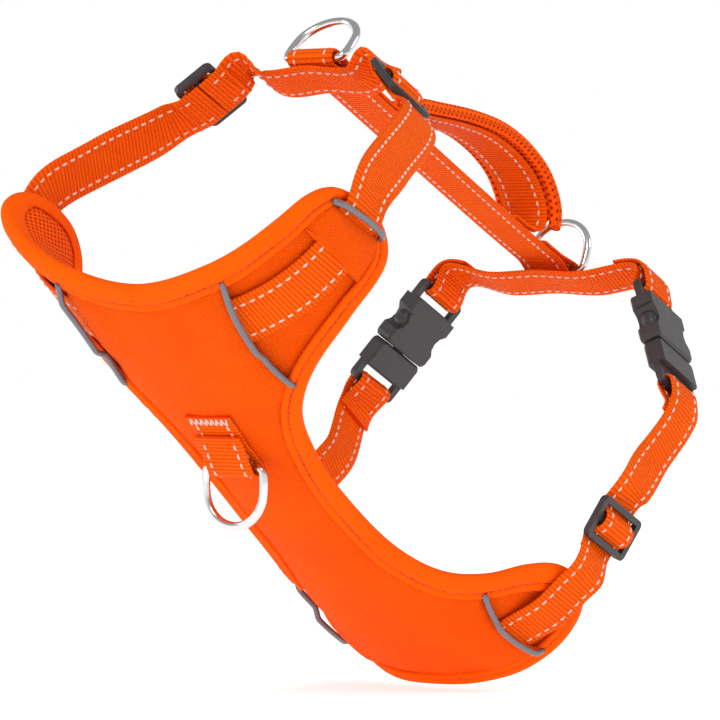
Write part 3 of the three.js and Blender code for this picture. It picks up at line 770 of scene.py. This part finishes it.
def densified(loop, step=3.0):
    """Adds points along a loop's long straight edges."""
    points = []
    for a, b in zip(loop, np.roll(loop, -1, 0)):
        count = max(1, round(np.linalg.norm(b - a) / step))
        points.extend(a + (b - a) * i / count for i in range(count))
    return np.array(points)


def bowed(loop):
    """Draws the straight seams in towards the middle, as the piping pulls them."""
    loop = densified(loop)
    for sign in (1, -1):
        for seam, front in ((SHOULDER_SEAM, True), (BELLY_SEAM, False)):
            on_seam = (np.abs(sign * loop[:, 0] - (seam - SEAM_TURN)) < 0.01) & ((loop[:, 1] < 0) == front)
            y = loop[on_seam, 1]
            share = (y - y.min()) / (y.max() - y.min())
            loop[on_seam, 0] += sign * SEAM_BOW * np.sin(math.pi * share)
    return loop


panel_loop = bowed(seam_clip(plate_loop(BINDING_INNER)))
panel = layer_piece(
    "chest_panel_cloth", panel_loop, 3.2, PANEL_FLOOR - 0.3, PANEL, panel_cloth, ["chest_panel"],
    panel_height, lambda flat: np.maximum(panel_height(flat), 0) * 0.8,
)


plate_loop(2.0)


# %% [markdown]
# The binding is a tape folded over the plate's edge. It is modelled as a rounded C that follows the outline,
# fuller on its outer bend, and drawn in a little at each stitch so that the tape looks sewn and not moulded.

# %% Binding tape
BINDING_THICK = 0.95
BINDING_LOW = -LAYER_GAP - 1.0
GROOVE = 6.6  # the stitching sinks in, this far from the edge


def binding_rings(step=3.0):
    top, low = PANEL_TOP + 0.9, BINDING_LOW + EDGE_RISE
    middle, half = (top + low) / 2, (top - low) / 2
    outer = [(BINDING_WIDTH, top - 1.6), (BINDING_WIDTH - 0.1, top - 0.5), (BINDING_WIDTH - 0.7, top)]
    outer += [(8.0, top + 0.05), (GROOVE + 0.5, top - 0.35), (GROOVE, top - 0.9), (GROOVE - 0.5, top - 0.3)]
    outer += [(5.4, top + 0.25)]
    for turn in np.linspace(0.5 * math.pi, -0.5 * math.pi, 11):
        outer.append((4.0 - 4.0 * math.cos(turn), middle + half * math.sin(turn) + 0.3 * math.sin(turn)))
    outer += [(BINDING_WIDTH - 1.5, low - 1.2), (BINDING_WIDTH, low - 1.0)]
    inner = [(BINDING_WIDTH, low - 0.4), (4.6, low + BINDING_THICK), (1.6, middle)]
    inner += [(4.6, top - 2.2), (BINDING_WIDTH - 0.4, top - 2.4)]
    profile = np.array(outer + inner)
    count = len(OUTLINE)
    reach = np.arange(count) * step
    pucker = 0.16 * np.sin(reach * 2 * math.pi / 7.3) + 0.18 * np.sin(reach * 2 * math.pi / 41.0)
    rings = []
    for inset, height in profile:
        flat = plate_loop(inset + 0.3)
        level = np.full(count, height) + pucker * (height > middle) * (inset > 3)
        rings.append(on_chest(flat[:, 0], flat[:, 1], level))
    return np.stack(rings, axis=1), profile


rings, profile = binding_rings()
points, faces = sweep(rings, closed=True)
around = np.r_[0, np.cumsum(np.linalg.norm(np.diff(profile, axis=0), axis=1))]
uv = np.stack([np.repeat(np.arange(len(OUTLINE)) * 3.0, len(profile)), np.tile(around, len(OUTLINE))], axis=1)
binding = make_piece("edge_binding", points, faces, tape_cloth, MAIN, ["chest_binding"], uv)
print("binding runs", round(len(OUTLINE) * 3.0), "mm round the plate")

# %% The binding's own stitching
edge_flat = plate_loop(GROOVE + 0.3)
edge_line = on_chest(edge_flat[:, 0], edge_flat[:, 1], PANEL_TOP + 0.25)
edge_up = unit(on_chest(edge_flat[:, 0], edge_flat[:, 1], PANEL_TOP + 3.0) - edge_line)
sew("binding_stitching", [(edge_line, edge_up)], orange_thread, thread=0.9, length=2.6, pitch=3.4)


# %% [markdown]
# Reflective piping marks each seam where an arm or a belly strap leaves the plate: a cord in a grey glossy
# skin, sewn in so that half of it stands above the cloth, with a narrow flange on either side.

# %% Piping
PIPING_INSET = 7.5  # the ends go in beside the binding's stitching


def crossing(loop, round_, front):
    """Where the line at a distance round the chest meets the loop: (lowest y, highest y)."""
    found = []
    for a, b in zip(loop, np.roll(loop, -1, 0)):
        if (a[0] - round_) * (b[0] - round_) <= 0 and a[0] != b[0]:
            y = a[1] + (round_ - a[0]) / (b[0] - a[0]) * (b[1] - a[1])
            if (y < 0) == front:
                found.append(y)
    return min(found), max(found)


def make_piping(name, node_name, side, round_, centre, front, bow):
    low, high = crossing(plate_loop(PIPING_INSET), side * round_, front)
    y = np.linspace(low, high, 40)
    lift = lift_over(y, centre, 3.0)
    at_end = np.minimum(y - low, high - y)
    height = PANEL_TOP + GAP + PIPING_RADIUS + lift - 1.2 * np.exp(-at_end / 1.5)
    bend = bow * np.sin(math.pi * (y - low) / (high - low)) + 0.2 * np.sin(y / 6.1 + side)
    path = on_chest(side * (round_ + bend), y, height)
    points, faces = tube(path, PIPING_RADIUS + 0.05, 14)
    make_piece(name, points, faces, piping_cloth, MAIN, [node_name])
    print(name, "is", round(float(high - low)), "mm long")


SIDES = ((1, "left"), (-1, "right"))
for side, hand in SIDES:
    make_piping(f"shoulder_piping_{hand}", f"piping_shoulder_{hand}", side, SHOULDER_SEAM, SHOULDER_Y, True,
                SEAM_BOW)
    make_piping(f"sleeve_piping_{hand}", f"piping_sleeve_{hand}", side, SLEEVE_OUTER, SHOULDER_Y, True, 1.5)
    make_piping(f"belly_piping_{hand}", f"piping_belly_{hand}", side, BELLY_SEAM, BELLY_Y, False, SEAM_BOW)


# %% [markdown]
# A short sleeve of the same cloth holds the webbing down at the end of each shoulder arm. It rises over the
# webbing and drops to the plate beside it.

# %% Sleeves
def strip_loop(side, start, end, inset, front):
    loop = clip_below(plate_loop(inset), 0, end, side)
    loop = clip_below(loop, 0, -start, -side)
    return clip_below(loop, 1, 0.0, 1 if front else -1)


def sleeve_height(flat):
    return lift_over(flat[:, 1], SHOULDER_Y, 2.6) + ripple(flat, 0.3)


for side, hand in SIDES:
    loop = strip_loop(side, SLEEVE_INNER, SLEEVE_OUTER - 1.0, BINDING_INNER, True)
    cover = layer_piece(f"sleeve_cloth_{hand}", loop, 2.6, PANEL_FLOOR - 0.3, PANEL, panel_cloth,
                        [f"shoulder_sleeve_{hand}"],
                        sleeve_height, lambda flat: sleeve_height(flat) * 0.9)


# %% [markdown]
# Every strap ends in a fitting: a sliding adjuster, a buckle or a ring. A fitting has its own frame, tipped
# about the body's long direction, and a strap comes to its bar straight through two last points.

# %% Fittings
AXIS_X, AXIS_Y = (1.0, 0.0, 0.0), (0.0, 1.0, 0.0)
SLIDER_REACH, BODY_BAR, PLUG_BAR, APPROACH = 9.0, 28.5, -28.5, 12.0
PLUG_CLEAR = 12.0  # a height along the girth slider, given to follow
TUCK_END, TUCK_DROP = 0.3, 3.3  # how far a strap reaches into a slider, and how far behind its bar


class Fitting:
    """A fitting's frame: its centre, and its lean about the body's long direction."""

    def __init__(self, side, x, y, z, lean):
        self.at = np.array([side * x, y, z], float)
        angle = side * lean
        self.x = np.array([math.cos(angle), 0, -math.sin(angle)])
        self.y = np.array([0.0, 1.0, 0.0])
        self.z = np.array([math.sin(angle), 0, math.cos(angle)])

    def place(self, points):
        points = np.asarray(points, float)
        return self.at + points[..., :1] * self.x + points[..., 1:2] * self.y + points[..., 2:] * self.z

    def towards(self, along, sign):
        return [self.place([0, 0, along + sign * APPROACH]), self.place([0, 0, along])]

    def behind(self, sign):
        """A strap's last points where it passes behind a slider's outer bar."""
        return [*self.towards(sign * SLIDER_REACH, sign), self.place([0, 0, sign * TUCK_END])]


neck_sliders = {side: Fitting(side, 53, FRONT_Y - 7, 80, -0.82) for side, hand in SIDES}
buckles = {side: Fitting(side, 75, REAR_Y + 3, 59, -0.5) for side, hand in SIDES}
girth_sliders = {side: Fitting(side, 84, REAR_Y - 13, -43, 0.3) for side, hand in SIDES}


def along_chest(round_, y):
    return unit(on_chest(round_, y + 1, 0) - on_chest(round_, y - 1, 0))


SEWN_IN = 18.0  # a strap is sewn in this far under the panel
EASE_STEPS = 11  # a strap takes this many steps, each side, to turn across its own width


def eased(points):
    """Spreads a line's turns along the body, because webbing can't bend sharply in its own plane."""
    weights = np.hanning(2 * EASE_STEPS + 3)[1:-1]
    across = np.pad(points[:, 1], EASE_STEPS, mode="edge")
    slower = points.copy()
    slower[:, 1] = np.convolve(across, weights / weights.sum(), mode="valid")
    return slower


def strap_from_plate(side, y, places, free_points):
    on_plate = [on_chest(side * round_, y, height) for round_, height in places]
    axes = [along_chest(side * round_, y) for round_, _ in places] + [AXIS_Y] * len(free_points)
    return strap_path([*on_plate, *free_points], axes, ease=eased)


def tucked(path, outward):
    """Draws a strap's end in behind a slider's outer bar."""
    from_end = path["reach"][-1] - path["reach"]
    drop = TUCK_DROP * (1 - smoothstep(from_end, 7, 24))[:, None]
    return dict(path, at=path["at"] - drop * outward)


# %% Straps at each side
STRAP_THREAD = {"thread": 1.35, "length": 2.9, "pitch": 4.7}


def strap_with_thread(name, path, nodes, body=MAIN):
    strap = make_strap(name, path, nodes, body)
    return strap, sew(f"{name}_thread", strap_rows(path), pale_thread, **STRAP_THREAD, body=body)


def follow(pieces, start, end):
    """Bakes each piece's placement into its mesh. start and end are not used."""
    for piece in pieces:
        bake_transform(piece)


for side, hand in SIDES:
    neck = strap_from_plate(
        side, SHOULDER_Y,
        [(SHOULDER_SEAM - SEWN_IN, ARM_WEBBING), (SHOULDER_SEAM, ARM_WEBBING), (70, ARM_WEBBING),
         (SLEEVE_INNER, ARM_WEBBING), (SLEEVE_OUTER - 3, ARM_WEBBING), (128, TIP_WEBBING + 0.3),
         (142, TIP_WEBBING + 0.3)],
        [np.array([side * 83, -140, 30.0]), *neck_sliders[side].behind(-1)],
    )
    neck = tucked(neck, side * neck_sliders[side].x)
    strap_with_thread(f"neck_webbing_{hand}", neck, [f"neck_strap_{hand}"])
    outward = side * girth_sliders[side].x
    girth = strap_path(
        [*buckles[side].towards(PLUG_BAR, -1)[::-1], np.array([side * 90, REAR_Y - 4, -4.0]),
         *girth_sliders[side].behind(1)], [AXIS_Y, AXIS_Y])
    girth_path = reversed_path(fold(reversed_path(tucked(girth, outward)), 20, side))
    pieces = strap_with_thread(f"girth_webbing_{hand}", girth_path, [f"girth_strap_{hand}"], None)
    follow(pieces, girth_sliders[side].place([0, 0, PLUG_CLEAR]),
           buckles[side].place([0, 0, PLUG_BAR]))
    belly = strap_from_plate(
        side, BELLY_Y,
        [(BELLY_SEAM - SEWN_IN, ARM_WEBBING), (BELLY_SEAM, ARM_WEBBING), (62, TIP_WEBBING),
         (73, TIP_WEBBING + 0.4), (80, TIP_WEBBING + 0.9)],
        girth_sliders[side].behind(-1)[1:],
    )
    strap_with_thread(f"belly_webbing_{hand}", tucked(belly, outward), [f"belly_strap_{hand}"])


# %% [markdown]
# In a slider the webbing comes from behind one outer bar, over the middle bar and back behind the other.
# That short hump moves with the slider when the strap is let out, so it is a piece of its own on the
# slider's body.

# %% Webbing over each slider's middle bar
HUMP = [(-2.3, -15.0), (-2.5, -11.0), (-2.2, -8.0), (0.2, -5.4), (2.9, -3.2), (3.7, 0.0)]
hump_line = HUMP + [(out, -along) for out, along in HUMP[-2::-1]]
for side, hand in SIDES:
    for kind, fitting in (("neck", neck_sliders[side]), ("girth", girth_sliders[side])):
        points = fitting.place([(side * out, 0, along) for out, along in hump_line])
        hump = strap_path(points, [AXIS_Y, AXIS_Y], 1.0)
        rider = f"{kind}_slider_{hand}_body"
        make_strap(f"{kind}_slider_loop_{hand}", hump, [], rider, WEBBING_WIDTH - 0.6, WEBBING_THICK - 0.2)
        sew(f"{kind}_slider_loop_{hand}_thread", strap_rows(hump), pale_thread, **STRAP_THREAD, body=rider)


# %% Straps across the back
def cross_middle(y):
    height = BACK_HEIGHT - 7
    return [np.array([x, y, height - (x != 0)]) for x in (-25.0, 0.0, 25.0)]


front = strap_path([*neck_sliders[-1].behind(1)[::-1], *cross_middle(FRONT_Y), *neck_sliders[1].behind(1)],
                   [AXIS_Y, AXIS_Y])
front = tucked(front, neck_sliders[1].x)
front = reversed_path(tucked(reversed_path(front), -neck_sliders[-1].x))
strap_with_thread("front_cross_webbing", front, ["front_cross_strap"])
rear = strap_path([*buckles[-1].towards(BODY_BAR, 1)[::-1], *cross_middle(REAR_Y),
                   *buckles[1].towards(BODY_BAR, 1)], [AXIS_Y, AXIS_Y])
strap_with_thread("rear_cross_webbing", fold_both(rear, 26, -1, -1), ["rear_cross_strap"])

SPINE_FRONT = np.array([0.0, -112.0, BACK_HEIGHT])
SPINE_REAR = np.array([0.0, 106.0, BACK_HEIGHT + 1])
spine = strap_path([SPINE_FRONT, (0, FRONT_Y + 30, BACK_HEIGHT), (0, 60, BACK_HEIGHT), SPINE_REAR],
                   [AXIS_X, AXIS_X])
strap_with_thread("spine_webbing", fold_both(spine, 30, 1, 1), ["spine_strap"])

# %% The chest tab
tab_height = PANEL_TOP + GAP + WEBBING_THICK / 2
TAB_BAR = on_chest(0, -84, tab_height + FOLD_RADIUS)
tab_sewn = [on_chest(0, y, tab_height) for y in (-112, -100)]
tab = strap_path([*tab_sewn, TAB_BAR], [AXIS_X, AXIS_X], 1.0)
tab_path = fold(tab, 20, -1)
strap_with_thread("chest_tab_webbing", tab_path, ["chest_tab"])


# %% [markdown]
# A bar tack, a tight zigzag of pale thread, holds the tab to the plate. It is what carries the pull of a
# lead.

# %% Bar tack
TACK_WIDTH, TACK_DEPTH, TACK_STEPS = 21.0, 4.2, 15
x = np.linspace(-TACK_WIDTH / 2, TACK_WIDTH / 2, TACK_STEPS + 1)
y = -109.5 + TACK_DEPTH / 2 * (-1.0) ** np.arange(TACK_STEPS + 1)
tack_level = tab_height + WEBBING_THICK / 2 + 0.1
tack = on_chest(0, y, tack_level) + np.stack([x, 0 * x, 0 * x], axis=1)
tack_up = np.tile(on_chest(0, -109.5, 1) - on_chest(0, -109.5, 0), (TACK_STEPS, 1))
points, faces = stitch_mesh(tack[:-1], tack[1:], tack_up, 1.1)
make_piece("chest_tab_bar_tack", points, faces, pale_thread, MAIN)


# %% [markdown]
# The rings are bent from round wire into a D and welded, then plated. A tube follows the D's centre line, and
# each swings on its flat side inside a fold of webbing. The front and chest rings take a lead.

# %% D-rings
RING_HALF, RING_HEIGHT, RING_CORNER = 16.0, 26.0, 3.0


def ring_line():
    """The D's centre line: a flat bar along x at the origin, and a round crown above it."""
    radius = RING_HALF
    turn = np.linspace(0, math.pi, 15)
    crown = [(radius * math.cos(t), RING_HEIGHT - radius + radius * math.sin(t), 0) for t in turn]
    corner = RING_CORNER
    left = [(-radius, corner + 1, 0), (-radius + 0.3 * corner, 0.3 * corner, 0), (-radius + corner + 1, 0, 0)]
    right = [(-x, y, z) for x, y, z in left[::-1]]
    bar = [(x, 0, 0) for x in (-6, 0, 6)]
    return spline([*crown, *left, *bar, *right], 1.6, closed=True)


def hang_ring(name, body, node_name, at, lean_degrees):
    lean = math.radians(lean_degrees)
    line = ring_line()
    x, y, z = line.T
    turned_y = y * math.cos(lean) - z * math.sin(lean)
    turned_z = y * math.sin(lean) + z * math.cos(lean)
    turned = np.stack([x, turned_y, turned_z], 1)
    points, faces = tube(turned + at, WIRE_RADIUS, 18, closed=True)
    make_piece(name, points, faces, chrome, body, [node_name])


hang_ring("front_d_ring", "front_ring_body", "front_ring", SPINE_FRONT, 68)
hang_ring("rear_d_ring", "rear_ring_body", "rear_ring", SPINE_REAR, 92)
hang_ring("chest_d_ring", "chest_ring_body", "chest_ring", TAB_BAR, -64)


# %% [markdown]
# The handle is a length of webbing with a padded grip over it: foam wrapped in air mesh, with the mesh rolled
# over the foam's long edges and stitched down. Its arch stands over the spine so that a hand fits under it.

# %% Handle
HANDLE_ARCH = [(-74, 99.4), (-58, 99.8), (-38, 107), (-6, 119), (17, 125), (39, 126), (58, 122), (71, 112),
               (72, 104), (62, 100), (50, 99.6)]
HANDLE_SEWN, HANDLE_FREE = 100.5, 106.0  # two heights given to follow
HANDLE_WIDTH, PAD_THICK, ROLL_RADIUS = 29.0, 5.0, 3.0
arch = strap_path([(0, y, z) for y, z in HANDLE_ARCH], [AXIS_X, AXIS_X])
pieces = strap_with_thread("handle_strap", arch, ["handle_webbing"], None)
follow(pieces, (0, 0, HANDLE_SEWN), (0, 0, HANDLE_FREE))
grip = part_of(arch, (arch["reach"] > 26) & (arch["reach"] < 160))
grip["reach"] = grip["reach"] - grip["reach"][0]
grip["at"] = grip["at"] + grip["normal"] * (WEBBING_THICK / 2 + GAP + PAD_THICK / 2)


def grip_rings(path, width, thick, sides=28):
    """The pad's section, crowned across and closed down towards each end of the grip."""
    rings, across = strap_rings(path, width, thick, sides)
    centre = path["at"][:, None]
    from_end = np.minimum(path["reach"], path["reach"][-1] - path["reach"])
    size = 0.55 + 0.45 * smoothstep(from_end, 0, 6)
    soft = 1 + 0.05 * np.sin(path["reach"] / 9.0)
    return centre + (rings - centre) * (size * soft)[:, None, None], across


rings, across = grip_rings(grip, HANDLE_WIDTH - 2 * ROLL_RADIUS + 2.0, PAD_THICK + 0.6)
points, faces = sweep(rings)
uv = np.stack([np.repeat(grip["reach"], len(across)), np.tile(across, len(rings))], axis=1)
pad = make_piece("handle_grip", points, faces, air_mesh, "handle_body", ["handle_pad"], uv)
for side, hand in SIDES:
    line = grip["at"] + side * (HANDLE_WIDTH / 2 + GAP) * grip["width"]
    points, faces = tube(line, ROLL_RADIUS + 0.1, 16)
    reach = np.repeat(grip["reach"], 16)
    uv = np.stack([reach, np.tile(np.arange(16) * 1.2, len(line))], axis=1)
    roll = make_piece(f"handle_edge_{hand}", points, faces, air_mesh, "handle_body",
                      [f"handle_roll_{hand}"], uv)


# %% [markdown]
# The sliders and side-release buckles are moulded in charcoal plastic. The frame's own solids have the right
# shape, so they stay and get rounded edges and a satin finish.

# %% Moulded fittings
def soften(node_name, width, segments=2):
    """Gives a solid of the frame its finish and rounds its edges."""
    made = bpy.data.objects[node_name]
    made.data.materials.clear()
    made.data.materials.append(plastic)
    flat = made.modifiers.new("merge_flats", "DECIMATE")
    flat.decimate_type = "DISSOLVE"
    flat.angle_limit = math.radians(3)
    edges = made.modifiers.new("rounded_edges", "BEVEL")
    edges.width = width
    edges.segments = segments
    edges.limit_method = "ANGLE"
    edges.angle_limit = math.radians(35)
    edges.harden_normals = True


for side, hand in SIDES:
    for name in (f"neck_slider_{hand}", f"girth_slider_{hand}"):
        soften(name, 0.0006)
    for name in (f"buckle_body_{hand}", f"buckle_plug_{hand}"):
        soften(name, 0.0008, 3)
    for name in (f"buckle_prong_front_{hand}", f"buckle_prong_rear_{hand}"):
        soften(name, 0.0005)


# %% [markdown]
# The prongs end in oval pads that fill the buckle's two side windows and are pressed together to open it.
# Each is a rounded oval with a shallow ridge, and rides with its prong.

# %% Press pads
PAD_MIDDLE, PAD_ASIDE = 7.5, 11.4
PAD_SIZE = np.array([4.1, 3.4, 5.9])


def press_pad(name, fitting, end, rider):
    """An oval pad. end is -1 at the front of the buckle and 1 at the rear."""
    turn = np.linspace(0, 2 * math.pi, 28, endpoint=False)
    rise = np.linspace(-math.pi / 2, math.pi / 2, 15)[1:-1]
    bulge = lambda v: np.sign(v) * np.abs(v) ** 0.75
    ring_x, ring_y = bulge(np.cos(turn)), bulge(np.sin(turn))
    rings = []
    for angle in rise:
        size = np.cos(angle) ** 0.8
        ridge = 1 - 0.06 * math.cos(angle * 9) * (ring_y * end > 0.3)
        rings.append(np.stack([ring_x * size, ring_y * size * ridge, np.full(28, math.sin(angle))], axis=1))
    points = np.array(rings) * PAD_SIZE + (0, end * PAD_ASIDE, PAD_MIDDLE)
    points, faces = sweep(fitting.place(points))
    make_piece(name, points, faces, plastic, rider, [])


for side, hand in SIDES:
    for end, place in ((-1, "front"), (1, "rear")):
        press_pad(f"press_pad_{place}_{hand}", buckles[side], end, f"prong_{place}_{hand}_body")


# %% [markdown]
# The scene is a plain pale studio: a large floor, a broad light above and in front, a softer one at the side
# and one behind to lift the edges. The world is white round the horizon and greyer above, so that the plated
# wire and the plastic have something to reflect.

# %% Floor and lights
floor_mesh = bpy.data.meshes.new("studio_floor")
low_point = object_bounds()[0][2]
FLOOR_Z = low_point - 0.002
floor_corners = [(4 * x, 4 * y, FLOOR_Z) for x, y in ((-1, -1), (1, -1), (1, 1), (-1, 1))]
floor_mesh.from_pydata(floor_corners, [], [(0, 1, 2, 3)])
studio_floor = bpy.data.objects.new("studio_floor", floor_mesh)
bpy.context.scene.collection.objects.link(studio_floor)
paper, _, paper_shader = material("studio_paper", 0.9, (0.84, 0.84, 0.84, 1), specular=0.1)
paper_shader.inputs["Emission Color"].default_value = (1, 1, 1, 1)
paper_shader.inputs["Emission Strength"].default_value = 0.62
floor_mesh.materials.append(paper)

AIM = Vector((0.0, 0.0, 0.0))


def area_light(name, place, size, power):
    data = bpy.data.lights.new(name, "AREA")
    data.shape = "DISK"
    data.size = size
    data.energy = power
    lamp = bpy.data.objects.new(name, data)
    lamp.location = place
    lamp.rotation_euler = (AIM - Vector(place)).to_track_quat("-Z", "Y").to_euler()
    bpy.context.scene.collection.objects.link(lamp)


area_light("key_light", (0.7, -1.7, 1.9), 0.9, 27)
area_light("side_light", (-1.8, -0.9, 0.7), 0.8, 7)
area_light("back_light", (1.6, 1.2, 1.3), 0.8, 9)
world = bpy.data.worlds.new("studio")
world.use_nodes = True
tree = world.node_tree
direction = node(tree, "ShaderNodeTexCoord", {}, {})[0]
up = node(tree, "ShaderNodeSeparateXYZ", {}, [direction])[2]
away = node(tree, "ShaderNodeMapRange", {"interpolation_type": "SMOOTHSTEP"},
            {"Value": up.math("ABSOLUTE"), "From Min": 0.12, "From Max": 0.5})[0]
sky = mix_colours(tree, away, (1, 1, 1, 1), (0.4, 0.4, 0.41, 1))
tree.links.new(sky.socket, tree.nodes["Background"].inputs["Color"])
bpy.context.scene.world = world
bpy.context.scene.view_settings.view_transform = "Standard"

# %% [markdown]
# A long lens from two metres away keeps the near and far sides at nearly one scale. It looks from the front
# of the left side, level with the harness.

# %% Camera
AZIMUTH, ELEVATION = math.radians(36.0), math.radians(1.0)
DISTANCE, LENS = 2.0, 217.0
ASIDE, ABOVE = 0.0132, 0.0  # the view's centre, sideways from the frame's origin and above it, in metres
backwards = Vector((
    math.sin(AZIMUTH) * math.cos(ELEVATION), -math.cos(AZIMUTH) * math.cos(ELEVATION), math.sin(ELEVATION)
))
sideways = Vector((math.cos(AZIMUTH), math.sin(AZIMUTH), 0.0))
VIEW_CENTRE = sideways * -ASIDE + backwards.cross(sideways) * -ABOVE
camera_data = bpy.data.cameras.new("camera")
camera_data.lens = LENS
camera_data.sensor_width = 36.0
camera = bpy.data.objects.new("camera", camera_data)
camera.location = VIEW_CENTRE + backwards * DISTANCE
camera.rotation_euler = (-backwards).to_track_quat("-Z", "Y").to_euler()
bpy.context.scene.collection.objects.link(camera)
bpy.context.scene.camera = camera
